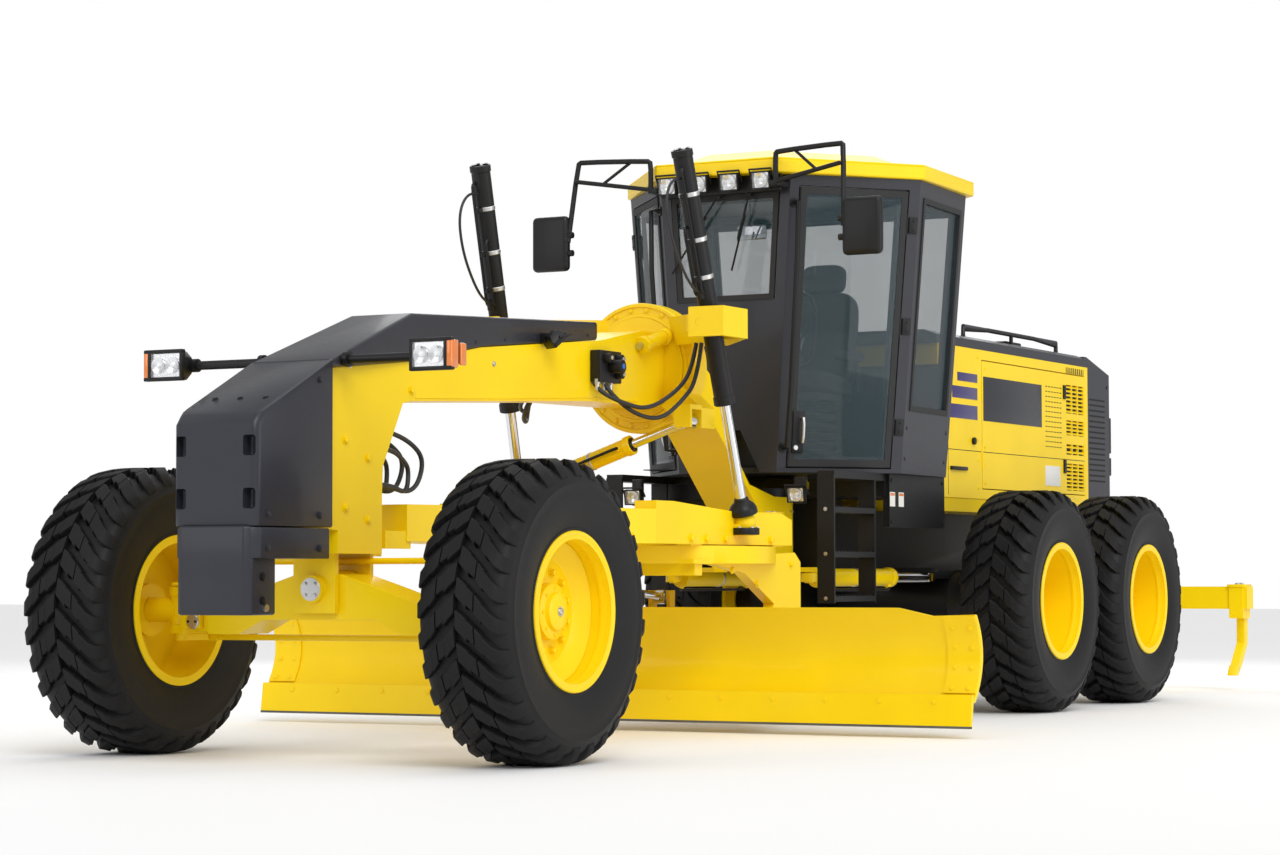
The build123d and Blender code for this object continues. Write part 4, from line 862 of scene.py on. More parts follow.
def work_gear_fittings():
    """Bolts and bolt plates of the drawbar, teeth of the circle, and the pins and bolts of its arms."""
    shape = Shape()
    for side in (1, -1):
        for x, y in ((-1.705, 0.565), (-2.212, 0.62), (-2.373, 0.62), (-2.582, 0.62), (-3.10, 0.62)):
            shape.side_bolt(side, (x, y, 0.987), 0.020, YELLOW)
        for x in (-2.29, -3.21):
            for dx in (-0.035, 0.035):
                shape.bolt((x + dx, side * 0.57, 1.126), (0, 0, 1), 0.014, STEEL)
            shape.side_box(side, (x - 0.075, x + 0.075), (0.50, 0.612), (1.126, 1.132), YELLOW, 0.003)
    for c, s in circle(6):
        shape.bolt((-0.30 + 0.03 * c, 0.03 * s, 1.045), (0, 0, 1), 0.006, STEEL)
    shape.done("drawbar_bolts", BODY["drawbar"])

    shape = Shape()
    teeth, centre_x, arm_y = 72, -2.75, 0.640
    # corners of a tooth: (radius, angle off its middle)
    tooth = ((0.612, -0.022), (0.612, 0.022), (0.584, 0.009), (0.584, -0.009))
    for step in range(teeth):
        angle = 2 * math.pi * step / teeth
        flat = [(centre_x + r * math.cos(angle + off), r * math.sin(angle + off)) for r, off in tooth]
        shape.prism("z", 0.872, 0.940, flat, EDGE_STEEL, 0)
    cap = ((0.0, 0.012), (0.042, 0.012), (0.046, 0.006), (0.046, 0.0))
    for side in (1, -1):
        shape.turn(cap, (-3.04, side * arm_y, 0.230), (0, side, 0), YELLOW, 28)
        for x, z in ((-3.30, 0.86), (-2.62, 0.83), (-2.90, 0.76)):
            shape.side_bolt(side, (x, arm_y, z), 0.015, YELLOW)
    shape.done("circle_teeth", BODY["circle"])


def cylinder_trim(name, body, base, eye, gland, radius, rod_radius, up, wiper):
    """Gland nut, end cap and hard line with clamps on a cylinder's barrel."""
    shape = Shape()
    base, eye, up = Vector(base), Vector(eye), Vector(up)
    way = (eye - base).normalized()
    length = (eye - base).length
    rise = (up - way * up.dot(way)).normalized()
    far = base + way * length * gland
    near = base + way * 0.085
    collar(shape, far - way * 0.035, far + way * 0.004, radius * 0.96, radius * 1.13, YELLOW)
    if wiper:
        collar(shape, far + way * 0.002, far + way * 0.008, rod_radius * 1.15, rod_radius * 1.6, BLACK)
    collar(shape, near, near + way * 0.022, radius * 0.96, radius * 1.10, YELLOW)
    # the line's two ports, and its way between them
    start, stop = near + way * 0.05, far - way * 0.06
    line = [start + rise * radius, start + rise * (radius + 0.022),
            near + way * 0.10 + rise * (radius + 0.024), far - way * 0.12 + rise * (radius + 0.024),
            stop + rise * (radius + 0.022), stop + rise * radius]
    shape.tube(line, 0.008, BLACK, 10, 1)
    for spot in (start, stop):
        shape.bar(spot + rise * radius * 0.94, spot + rise * (radius + 0.012), 0.016, YELLOW, 16, 0.002)
    middle = near.lerp(far, 0.5)
    collar(shape, middle - way * 0.01, middle + way * 0.01, radius * 0.97, radius * 1.05, STEEL)
    shape.done(name, body)


def cylinders():
    """Trim of the cylinders. The tilt rod's eye comes up to its gland, so it has no wiper ring."""
    # base, rod's eye, gland's share of that length, radii of barrel and rod, side of the hard line, wiper
    kinds = {"shift": ((-2.70, -0.53, 1.29), (-2.70, 0.35, 1.594), 0.625, 0.046, 0.024, (1, 0, 0), True)}
    for side, word in SIDES:
        base, eye = (-3.985, side * 0.42, 0.79), (-5.56, side * 0.45, 0.79)
        kinds[f"{word}_hinge"] = (base, eye, 0.66, 0.050, 0.028, (0, side * 0.4, -1), True)
    kinds["tilt"] = ((-2.29, 0, 0.76), (-3.058, 0, 0.69), 0.57, 0.035, 0.020, (0, 0, 1), False)
    kinds["ripper"] = ((-8.48, 0, 1.12), (-9.25, 0, 0.80), 0.60, 0.052, 0.026, (0, 0, 1), True)
    for name, how in kinds.items():
        cylinder_trim(f"{name}_cylinder_trim", BODY[f"{name}_barrel"], *how)


# ---- cab ----------------------------------------------------------------------------------
FLOOR_Z, ROOF_Z = 1.366, 2.995
JOINTS = {joint["name"]: (Vector(joint["pos_m"]), Vector(joint["axis"])) for joint in
          frame["record"]["behaviour"]["joints"] if joint["type"] == "hinge"}
# (x, half width) at the floor and at the roof
POSTS = {"A": ((-3.830, 0.300), (-3.810, 0.405)), "B": ((-4.400, 0.790), (-4.405, 0.920)),
         "C": ((-5.180, 0.730), (-5.200, 0.859))}


def post(name, z):
    """A cab corner at a height; a minus sign before its letter is the right-hand one."""
    (x0, y0), (x1, y1) = POSTS[name[-1]]
    share = (z - FLOOR_Z) / (ROOF_Z - FLOOR_Z)
    side = -1 if name[0] == "-" else 1
    return Vector((x0 + (x1 - x0) * share, side * (y0 + (y1 - y0) * share), z))


def on_wall(a, b, along, z, out=0.0):
    """A point of the wall between two corners: metres from the first, or from the second if negative."""
    start, end = post(a, z), post(b, z)
    run = (end - start).normalized()
    spot = start + run * along if along >= 0 else end + run * along
    outward = Vector((run.y, -run.x, 0))
    if outward.dot(spot - Vector((-4.5, 0, z))) < 0:
        outward.negate()
    return spot + outward * out


def wall_plate(shape, a, b, outline, inner, outer, finish, bevel=0.002):
    """A plate on a cab wall: outline of (along, height), between two distances outward."""
    faces = [[on_wall(a, b, along, z, out) for along, z in outline] for out in (inner, outer)]
    shape.hull(faces, finish, bevel)


def wall_frame(shape, a, b, outer, inner, near, far):
    """Four rubber strips on a cab wall between two four-cornered outlines."""
    for i in range(4):
        j = (i + 1) % 4
        wall_plate(shape, a, b, [outer[i], outer[j], inner[j], inner[i]], near, far, TRIM, 0)


def square(along0, along1, low, high):
    """Corners of an upright outline on a cab wall."""
    return [(along0, low), (along1, low), (along1, high), (along0, high)]


# the fixed windows: (corners of the wall, from the first, from the second, underside, top)
WINDOWS = (("B", "C", 0.07, -0.07, 1.72, 2.90), ("-B", "-C", 0.07, -0.07, 1.72, 2.90),
           ("-A", "A", 0.07, -0.07, 2.32, 2.90), ("C", "-C", 0.07, -0.07, 2.00, 2.90))


def cab_windows():
    """Gaskets of the fixed windows."""
    shape = Shape()
    lap, width = 0.004, 0.026
    for a, b, first, last, low, high in WINDOWS:
        outer, inner = (square(first - grow, last + grow, low - grow, high + grow) for grow in (lap, -width))
        wall_frame(shape, a, b, outer, inner, -0.012, 0.006)
    shape.done("window_gaskets", REAR)


def cab_doors():
    """Glass, rubber, latch, pull, hinge barrels and grab bar of each cab door."""
    for mark, word in (("", "left"), ("-", "right")):
        a, b = mark + "A", mark + "B"
        shape = Shape()
        wall_plate(shape, a, b, square(0.098, -0.108, 1.436, 2.892), 0.0005, 0.0065, GLASS, 0.001)
        shape.done(f"{word}_door_pane", BODY[f"{word}_door"])
        shape = Shape()
        outer, inner = square(0.064, -0.074, 1.399, 2.926), square(0.100, -0.110, 1.438, 2.890)
        wall_frame(shape, a, b, outer, inner, 0.0005, 0.008)
        # latch plate, pull and lock
        wall_plate(shape, a, b, square(0.078, 0.145, 1.47, 1.70), 0.006, 0.018, BLACK, 0.004)
        pull = ((1.53, 0.016), (1.53, 0.052), (1.66, 0.052), (1.66, 0.016))
        shape.tube([on_wall(a, b, 0.128, z, out) for z, out in pull], 0.009, STEEL, 12, 1)
        shape.bar(on_wall(a, b, 0.098, 1.50, 0.016), on_wall(a, b, 0.098, 1.50, 0.026), 0.013, STEEL, 20)
        spot, axis = JOINTS[f"{word}_door_swing"]
        for along in (-0.60, -0.04, 0.52):
            shape.bar(spot + axis * along, spot + axis * (along + 0.12), 0.0065, BLACK, 16)
        # grab bar inside the pane
        grab = ((0.13, 1.95), (0.22, 1.98), (0.22, 2.32), (0.13, 2.35))
        shape.tube([on_wall(a, b, along, z, -0.065) for along, z in grab], 0.013, BLACK, 12, 2)
        shape.done(f"{word}_door_fittings", BODY[f"{word}_door"])


def cab_outside():
    """Hinge leaves with their screws, grab tubes, lower bolts and wipers on the cab's shell."""
    shape = Shape()
    for mark in ("", "-"):
        a, b, c = mark + "A", mark + "B", mark + "C"
        for z in (1.62, 2.18, 2.74):
            wall_plate(shape, a, b, square(-0.058, -0.006, z - 0.045, z + 0.045), 0.0, 0.012, BLACK, 0.003)
            for dz in (-0.025, 0.025):
                spot = on_wall(a, b, -0.03, z + dz, 0.012)
                shape.bolt(spot, on_wall(a, b, -0.03, z + dz, 0.1) - spot, 0.007, BLACK, 0.004, washer=False)
        # long grab tube on the front post
        rail = ((1.50, 0.0), (1.50, 0.075), (2.84, 0.075), (2.84, 0.0))
        shape.tube([on_wall(a, b, 0.03, z, out) for z, out in rail], 0.014, BLACK, 14, 1)
        for z in (1.50, 2.84):
            shape.bar(on_wall(a, b, 0.03, z, 0.0), on_wall(a, b, 0.03, z, 0.008), 0.026, BLACK, 20)
        for z in (1.45, 1.62):
            for along in (0.05, -0.05):
                spot = on_wall(b, c, along, z, 0.0)
                shape.bolt(spot, on_wall(b, c, along, z, 0.1) - spot, 0.008, CHARCOAL, 0.004)
    # wipers from under the lamp board
    for y, reach in ((-0.02, -0.30), (0.17, -0.12)):
        start, tip = Vector((-3.795, y, 2.90)), Vector((-3.797, y + reach, 2.50))
        middle = start.lerp(tip, 0.62)
        shape.bar(start, start + Vector((0.03, 0, 0)), 0.016, BLACK, 16)
        shape.bar(start + Vector((0.022, 0, 0)), middle + Vector((0.020, 0, 0)), 0.006, BLACK, 8)
        knee = middle + Vector((0.018, 0, 0))
        low, high = tip + Vector((0.006, 0, -0.02)), start.lerp(tip, 0.28) + Vector((0.006, 0, 0))
        shape.bar(low, high, 0.006, BLACK, 8)
        shape.bar(knee, low.lerp(high, 0.5), 0.005, BLACK, 8)
    shape.done("cab_fittings", REAR)


def mirrors_and_lamps():
    """Mirrors on their arms, the lamp board under the eaves, and the two lamps below the cab."""
    shape = Shape()
    for side in (1, -1):
        main = ((-3.662, 0.385, 2.930), (-3.662, 0.385, 3.092), (-3.652, 0.400, 3.100),
                (-3.612, 0.800, 3.114), (-3.606, 0.816, 3.104), (-3.540, 0.845, 2.660))
        brace = ((-3.662, 0.385, 2.940), (-3.567, 0.812, 3.001))
        strut = ((-3.655, 0.50, 3.105), (-3.60, 0.66, 2.978))
        for line, radius, *how in ((main, 0.0145, 14, 1), (brace, 0.0125, 12), (strut, 0.009, 10)):
            shape.tube([mirror(spot, side) for spot in line], radius, BLACK, *how)
        shape.side_box(side, (-3.803, -3.655), (0.345, 0.400), (2.918, 2.948), BLACK)
        shape.side_box(side, (-3.575, -3.515), (0.840, 1.070), (2.500, 2.810), BLACK, 0.028, 4)
        shape.side_box(side, (-3.584, -3.570), (0.856, 1.054), (2.522, 2.788), MIRROR, 0.006)
        for z in (2.60, 2.70):
            shape.bar((-3.545, side * 0.815, z), (-3.545, side * 0.850, z), 0.018, BLACK, 20, 0.003)
    shape.box((-3.808, -0.330, 2.912), (-3.79, 0.330, 2.985), BLACK, 0.003)
    shape.box((-3.790, -0.370, 2.900), (-3.75, 0.370, 2.995), BLACK, 0.006)
    for y in (-0.289, -0.095, 0.095, 0.289):
        shape.box((-3.752, y - 0.030, 2.935), (-3.715, y + 0.030, 2.975), BLACK, 0.003)
        work_lamp(shape, (-3.668, y, 2.953), (1, 0.0, -0.10), 0.114, 0.098)
    for side in (1, -1):
        work_lamp(shape, (-3.655, side * 0.50, 1.235), (1, 0, -0.15), 0.105, 0.085)
        shape.side_box(side, (-3.735, -3.70), (0.47, 0.53), (1.19, 1.335), BLACK)
    shape.done("cab_mirrors_and_lamps", REAR, ["mirrors_and_lamps"])


def roof_details():
    """Gutter seam and hatch of the roof, and the aerial's base."""
    shape = Shape()
    rim = [(-3.690, 0.365), (-4.408, 0.938), (-5.246, 0.884), (-5.322, 0.80)]
    loop = [(x, y, 3.0735) for x, y in rim] + [(x, -y, 3.0735) for x, y in reversed(rim)]
    shape.tube(loop + loop[:1], 0.006, YELLOW, 8)
    shape.box((-4.85, -0.28, 3.158), (-4.25, 0.28, 3.163), YELLOW, 0.002)
    shape.bar((-3.90, -0.35, 3.07), (-3.90, -0.35, 3.15), 0.012, BLACK, 16, 0.003)
    shape.done("roof_details", REAR)


def cushion(name, centre, half, power, tilt, body, finish):
    """A stuffed closed form: a rounded box whose faces crown outward."""
    shape = Shape()
    rows, around = 20, 36

    def swell(value):
        return math.copysign(abs(value) ** power, value)

    rings = []
    for i in range(1, rows):
        v = -math.pi / 2 + math.pi * i / rows
        wide, high = swell(math.cos(v)), half[2] * swell(math.sin(v))
        rings.append([(half[0] * wide * swell(c), half[1] * wide * swell(s), high)
                      for c, s in circle(around)])
    shape.hull(rings, finish)
    move = Matrix.Translation(centre) @ Matrix.Rotation(math.radians(tilt), 4, "Y")
    made = shape.done(name, body, move=move, sharp=80)
    return made


def interior():
    """Seat, steering column, lever banks, console, mat, pedals, monitor, inside mirror and sun blind."""
    cushion("seat_cushion", (-4.78, 0, 1.900), (0.25, 0.25, 0.065), 0.42, -4, REAR, CLOTH)
    cushion("seat_back", (-5.02, 0, 2.185), (0.062, 0.235, 0.275), 0.42, -11, REAR, CLOTH)
    cushion("headrest", (-5.095, 0, 2.540), (0.048, 0.135, 0.085), 0.5, -9, REAR, CLOTH)
    for side, word in SIDES:
        place = (-4.80, side * 0.295, 2.06)
        cushion(f"{word}_armrest", place, (0.17, 0.038, 0.030), 0.5, 0, REAR, CLOTH)
    shape = Shape()
    floor = 1.397
    shape.box((-4.93, -0.18, floor), (-4.62, 0.18, 1.52), PLASTIC, 0.01)
    for step in range(5):
        z = 1.53 + 0.055 * step
        shape.box((-4.92, -0.165, z), (-4.63, 0.165, z + 0.035), TRIM, 0.012)
    shape.box((-5.02, -0.215, 1.80), (-4.56, 0.215, 1.848), PLASTIC, 0.01)
    for side in (1, -1):
        shape.bar((-5.06, side * 0.06, 2.36), (-5.09, side * 0.06, 2.50), 0.008, STEEL, 10)
        shape.bar((-4.92, side * 0.295, 1.86), (-4.90, side * 0.295, 2.04), 0.016, BLACK, 12)
    # steering column, rake bracket, wheel with three spokes
    column = [(-4.06, floor), (-4.26, floor), (-4.23, 2.08), (-4.11, 2.16), (-4.05, 2.10)]
    shape.prism("y", -0.11, 0.11, column, PLASTIC, 0.02, 3)
    hub, axis = Vector((-4.29, 0, 2.22)), Vector((-0.5, 0, 0.8)).normalized()
    shape.bar((-4.19, 0, 2.07), hub - axis * 0.01, 0.030, BLACK, 20)
    shape.turn([(0.185 + 0.014 * c, 0.014 * s) for c, s in circle(12)], hub, axis, BLACK, 48, closed=True)
    across = Vector((0, 1, 0))
    up = axis.cross(across)
    for c, s in circle(3, 0.75):
        shape.bar(hub, hub + (across * c + up * s) * 0.178, 0.011, BLACK, 10)
    shape.bar(hub - axis * 0.012, hub + axis * 0.018, 0.042, PLASTIC, 28, 0.005)
    # instrument pod
    shape.prism("y", -0.13, 0.13, [(-4.02, 2.10), (-4.10, 2.13), (-4.13, 2.23), (-4.05, 2.24)], BLACK, 0.012)
    shape.box((-4.122, -0.10, 2.14), (-4.118, 0.10, 2.215), SCREEN, 0.001)
    # four levers each side of the column with their knobs
    for side in (1, -1):
        bank = [(-4.06, 1.92), (-4.20, 1.94), (-4.18, 2.02), (-4.05, 2.02)]
        shape.prism("y", side * 0.125, side * 0.30, bank, BLACK, 0.008)
        for step in range(4):
            y = side * (0.148 + 0.042 * step)
            foot, knob = Vector((-4.14, y, 1.99)), Vector((-4.23 - 0.008 * step, y, 2.17 - 0.006 * step))
            shape.bar(foot, knob, 0.006, STEEL, 8)
            shape.turn([(0.0, -0.03), (0.013, -0.026), (0.017, 0.0), (0.013, 0.016), (0.0, 0.020)], knob,
                       knob - foot, BLACK, 16)
    # right-hand console, floor mat, pedals
    console = [(-4.45, floor), (-5.10, floor), (-5.10, 2.02), (-4.52, 1.95), (-4.45, 1.85)]
    shape.prism("y", -0.60, -0.36, console, PLASTIC, 0.02, 3)
    shape.box((-4.62, -0.54, 1.945), (-4.52, -0.42, 1.965), BLACK, 0.004)
    shape.box((-5.05, -0.62, 1.3965), (-4.00, 0.30, 1.402), TRIM, 0.001)
    for y in (-0.19, 0.19):
        pedal = [(-4.02, 1.45), (-4.14, 1.405), (-4.15, 1.42), (-4.03, 1.47)]
        shape.prism("y", y - 0.045, y + 0.045, pedal, BLACK, 0.004)
    # monitor on its stalk, inside mirror and sun blind
    shape.bar((-4.05, -0.32, 1.95), (-4.02, -0.40, 2.20), 0.012, BLACK, 12)
    shape.box((-4.06, -0.50, 2.16), (-4.01, -0.30, 2.31), BLACK, 0.010)
    shape.box((-4.063, -0.485, 2.175), (-4.0595, -0.315, 2.295), SCREEN, 0.001)
    shape.box((-3.90, -0.34, 2.86), (-3.872, 0.34, 2.955), BLACK, 0.006)
    shape.box((-3.93, 0.02, 2.66), (-3.915, 0.20, 2.74), MIRROR, 0.006)
    shape.bar((-3.92, 0.11, 2.73), (-3.89, 0.11, 2.90), 0.006, BLACK, 8)
    shape.done("cab_interior", REAR, ["seat_and_column"])


# ---- rear ---------------------------------------------------------------------------------
HOOD_Y = 0.580
VENT_X = (-7.860, -7.540)
VENTS = ((1.350, 1.525), (1.583, 1.650), (1.709, 1.806), (1.851, 2.037))


def side_plate(shape, side, x0, x1, z0, z1, finish, proud=0.0016, bevel=0.0005):
    """A thin plate on one of the hood's side faces."""
    shape.side_box(side, sorted((x0, x1)), (HOOD_Y - 0.001, HOOD_Y + proud), (z0, z1), finish, bevel)


def door_panel(shape, side, word):
    """The engine door's own sheet with its vents cut through the outer skin, a near-black sheet of painted
    shade at the back of each vent, their slats and its hinges.
    """
    (x0, _, z0), (x1, _, z1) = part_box(f"{word}_engine_door")
    bed = HOOD_Y - 0.014
    edges = [z0] + [z for vent in VENTS for z in vent] + [z1]

    def slab(x, z, inner=bed, outer=HOOD_Y, finish=YELLOW):
        shape.side_box(side, x, (inner, outer), z, finish, 0)

    slab((x0, x1), (z0, z1), 0.550, bed)
    slab((x0, VENT_X[0]), (z0, z1))
    slab((VENT_X[1], x1), (z0, z1))
    for rail in zip(edges[::2], edges[1::2]):
        slab(VENT_X, rail)
    inner, outer = side * bed, side * (HOOD_Y - 0.0015)
    for low, high in VENTS:
        # painted shade: a near-black sheet at the back of each vent stands for the shade inside it
        slab(VENT_X, (low, high), bed, bed + 0.001, PAINTED_SHADE_AND_SEAM)
        count = int((high - low) / 0.024)
        for step in range(count):
            z = low + (high - low) * (step + 0.5) / count
            slat = [(inner, z + 0.004), (outer, z - 0.008), (outer, z - 0.004), (inner, z + 0.008)]
            shape.prism("x", *VENT_X, slat, YELLOW, 0)
        for share in (1 / 3, 2 / 3):
            x = VENT_X[0] + (VENT_X[1] - VENT_X[0]) * share
            slab((x - 0.006, x + 0.006), (low, high))
    x, y, middle = JOINTS[f"{word}_engine_door_swing"][0]
    for z in (middle - 0.26, middle + 0.16):
        shape.bar((x, y, z), (x, y, z + 0.12), 0.0045, YELLOW, 14)


def hood_sides():
    """Stripes, vents, seams, bolts and latches on the hood's sides and its engine doors; the dark of the
    vents and slots is painted shade.
    """
    for side, word in SIDES:
        shape = Shape()
        for front, z0, z1 in ((-5.72, 1.964, 2.016), (-5.64, 1.860, 1.932), (-5.60, 1.739, 1.823)):
            side_plate(shape, side, front, -6.03, z0, z1, NAVY)
        # painted shade: a near-black strip stands for the shade inside this vent, with its slats laid over it
        side_plate(shape, side, -7.54, -7.86, 2.112, 2.150, PAINTED_SHADE_AND_SEAM)
        for step in range(9):
            x = -7.56 - 0.035 * step
            side_plate(shape, side, x, x + 0.012, 2.112, 2.150, YELLOW, 0.004)
        side_plate(shape, side, -5.60, -5.845, 1.428, 1.450, BLACK, 0.016, 0.004)
        side_plate(shape, side, -5.44, -6.085, 1.548, 1.552, PAINTED_SHADE_AND_SEAM, 0.0008, 0)
        side_plate(shape, side, -5.57, -5.574, 1.28, 2.15, PAINTED_SHADE_AND_SEAM, 0.0008, 0)
        for x in (-5.50, -6.04):
            for z in (1.33, 1.50, 1.62, 2.12):
                shape.side_bolt(side, (x, HOOD_Y, z), 0.008, YELLOW, 0.004)
        catch = [(-5.958, side * (HOOD_Y + proud), 1.61) for proud in (0, 0.018)]
        shape.bar(*catch, 0.022, BLACK, 20, 0.003)
        shape.done(f"{word}_hood_side", REAR)

        shape = Shape()
        side_plate(shape, side, -6.125, -7.100, 1.740, 2.010, CHARCOAL, 0.002)
        side_plate(shape, side, -6.116, -7.868, 1.5475, 1.5515, PAINTED_SHADE_AND_SEAM, 0.0008, 0)
        side_plate(shape, side, -7.16, -7.42, 1.372, 1.500, LABEL, 0.002)
        door_panel(shape, side, word)
        # painted shade: a grid of near-black slips stands for the shade inside the door's slots
        for column in range(6):
            for row in range(13):
                x, z = -7.17 - 0.05 * column, 1.62 + 0.032 * row
                side_plate(shape, side, x, x - 0.030, z, z + 0.006, PAINTED_SHADE_AND_SEAM, 0.0008, 0)
        # paddle latches near the door's rear edge
        for z in (1.46, 1.94):
            side_plate(shape, side, -7.48, -7.52, z, z + 0.09, BLACK, 0.010, 0.003)
        for z in (1.36, 1.58, 2.06):
            shape.side_bolt(side, (-6.15, HOOD_Y, z), 0.007, YELLOW, 0.004)
        shape.done(f"{word}_engine_door_skin", BODY[f"{word}_engine_door"], [f"{word}_engine_door"])


def hood_top():
    """Box, filler cap, slotted cover whose slots are near-black bars of painted shade, and seams on the dark
    cap, and its two hand rails.
    """
    shape = Shape()
    top, rail_top, rail_y = 2.25, 2.33, 0.42
    shape.box((-7.22, 0.18, top), (-6.96, 0.40, 2.290), BLACK, 0.008)
    shape.bar((-5.75, -0.25, top), (-5.75, -0.25, 2.275), 0.055, BLACK, 28, 0.006)
    shape.box((-6.75, -0.16, 2.251), (-6.35, 0.16, 2.262), CHARCOAL, 0.004)
    # painted shade: near-black bars on the cover stand for the shade inside its slots
    for step in range(7):
        shape.box((-6.72 + 0.05 * step, -0.13, 2.262), (-6.70 + 0.05 * step, 0.13, 2.266), PAINTED_SHADE_AND_SEAM, 0)
    for x in (-6.05, -7.35):
        shape.box((x - 0.002, -0.499, 2.2515), (x + 0.002, 0.499, 2.2530), PAINTED_SHADE_AND_SEAM, 0)
    for side in (1, -1):
        for x in (-6.20, -7.78):
            shape.bar((x, side * rail_y, top), (x, side * rail_y, 2.262), 0.030, BLACK, 20, 0.003)
        rail = [(-6.20, top), (-6.20, rail_top), (-7.78, rail_top), (-7.78, top)]
        shape.tube([(x, side * rail_y, z) for x, z in rail], 0.0145, BLACK, 14, 1)
        shape.bar((-6.99, side * rail_y, top), (-6.99, side * rail_y, rail_top), 0.0125, BLACK, 12)
    shape.done("hood_top_fittings", REAR)


def rear_end():
    """Grille with its frame, slats and a near-black sheet of painted shade behind them, lamps, hinge barrels,
    louvres and bolts of the radiator housing.
    """
    shape = Shape()
    face, low, high = -8.4195, 1.33, 2.06
    # painted shade: a near-black sheet behind the slats stands for the shade inside the grille
    shape.box((-8.4225, -0.43, low), (face, 0.43, high), PAINTED_SHADE_AND_SEAM, 0)
    for y0, y1, z0, z1 in ((-0.455, 0.455, 1.305, 1.332), (-0.455, 0.455, 2.058, 2.085),
                           (-0.455, -0.428, low, high), (0.428, 0.455, low, high)):
        shape.box((-8.440, y0, z0), (face, y1, z1), CHARCOAL, 0.004)
    slats, root, tip = 20, -8.4205, -8.436
    for step in range(slats):
        z = low + 0.73 * (step + 0.5) / slats
        slat = [(root, z + 0.002), (tip, z - 0.012), (tip, z - 0.006), (root, z + 0.008)]
        shape.prism("y", -0.43, 0.43, slat, CHARCOAL, 0)
    for y in (-0.143, 0.143):
        shape.box((-8.438, y - 0.009, low), (root, y + 0.009, high), CHARCOAL, 0)
    for side in (1, -1):
        for z in ((1.47, 1.59), (1.62, 1.86)):
            shape.side_box(side, (-8.465, face), (0.458, 0.552), z, BLACK, 0.006)
        for z0, z1, finish in ((1.478, 1.582, RED), (1.628, 1.700, RED), (1.706, 1.776, AMBER),
                               (1.782, 1.852, LENS)):
            shape.side_box(side, (-8.4720, -8.4635), (0.462, 0.548), (z0, z1), finish, 0.005)
        for z in (1.39, 1.99):
            shape.bar((-8.425, side * 0.51, z - 0.05), (-8.425, side * 0.51, z + 0.05), 0.013, BLACK, 16)
        # louvres in the housing's sides, drawn as thin near-black slips of painted shade
        for step in range(16):
            z = 1.42 + 0.036 * step
            shape.side_box(side, (-8.33, -8.03), (0.5545, 0.5560), (z, z + 0.012), PAINTED_SHADE_AND_SEAM, 0)
        for x, z in ((-7.98, 1.32), (-8.38, 1.32), (-8.38, 2.06), (-7.98, 2.16)):
            shape.side_bolt(side, (x, 0.555, z), 0.009, CHARCOAL, 0.005)
    shape.box((-8.4415, -0.06, 1.285), (face, 0.06, 1.315), BLACK, 0.004)
    shape.box((-8.4225, -0.20, 2.085), (face, 0.20, 2.13), CHARCOAL, 0.001)
    shape.done("rear_grille_and_lamps", REAR)


def chassis():
    """Grip bars and bolts of the steps, blank labels on the skirt, and the tandem cases' bolts and plugs."""
    shape = Shape()
    for side in (1, -1):
        for z in (0.660, 0.900, 1.140):
            for step in range(12):
                x = -4.225 + 0.042 * step
                shape.side_box(side, (x, x + 0.012), (0.610, 0.690), (z + 0.0295, z + 0.036), BLACK, 0.001)
        # the steps' bolts, ahead of them and behind
        for x, way in ((-3.712, 1), (-4.258, -1)):
            for z in (0.678, 0.918, 1.158):
                shape.bolt((x, side * 0.65, z), (way, 0, 0), 0.008, STEEL)
        # blank labels on the skirt
        for x in (-4.44, -4.56):
            shape.side_box(side, (x - 0.035, x + 0.035), (0.7195, 0.7215), (1.185, 1.265), LABEL, 0)
            shape.side_box(side, (x - 0.030, x + 0.030), (0.7191, 0.7219), (1.245, 1.260), AMBER, 0)
        for x in (-4.43, -5.15):
            for z in (1.10, 1.33):
                shape.side_bolt(side, (x, 0.72, z), 0.009, BLACK, 0.005)
    shape.done("steps_and_labels", REAR)

    shape = Shape()
    case_y, plug_y = 0.740, 0.752
    for side in (1, -1):
        for x in (-7.2575, -5.7325):
            for c, s in circle(12, 0.5):
                shape.side_bolt(side, (x + 0.145 * c, case_y, AXLE_Z + 0.145 * s), 0.010, BLACK)
        for x in (-6.20, -6.495, -6.79):
            shape.bar((x, side * case_y, AXLE_Z), (x, side * plug_y, AXLE_Z), 0.045, BLACK, 24, 0.003)
            shape.side_bolt(side, (x, plug_y, AXLE_Z), 0.016, STEEL, washer=False)
        for step in range(9):
            x = -5.85 - 0.16 * step
            shape.bolt((x, side * 0.65, 0.82), (0, 0, 1), 0.009, BLACK)
    shape.done("tandem_bolts", REAR)


def ripper_fittings():
    """Wedges, keeper pins and worn points of the ripper's shanks."""
    shape = Shape()
    for y in (-1.093, 0.0, 1.093):
        shape.box((-9.618, y - 0.062, 0.715), (-9.442, y + 0.062, 0.735), YELLOW, 0.004)
        for x in (-9.58, -9.48):
            shape.bolt((x, y, 0.735), (0, 0, 1), 0.014, STEEL)
        shape.bar((-9.53, y - 0.066, 0.60), (-9.53, y + 0.066, 0.60), 0.014, STEEL, 16)
        point = [(-9.435, 0.16), (-9.375, 0.175), (-9.325, 0.1075), (-9.402, 0.1045)]
        shape.prism("y", y - 0.0295, y + 0.0295, point, YELLOW, 0.002)
    cap = ((0.0, 0.008), (0.034, 0.008), (0.038, 0.0))
    for side in (1, -1):
        shape.turn(cap, (-8.47, side * 0.362, 0.70), (0, side, 0), STEEL, 24)
    shape.done("ripper_fittings", BODY["ripper"])


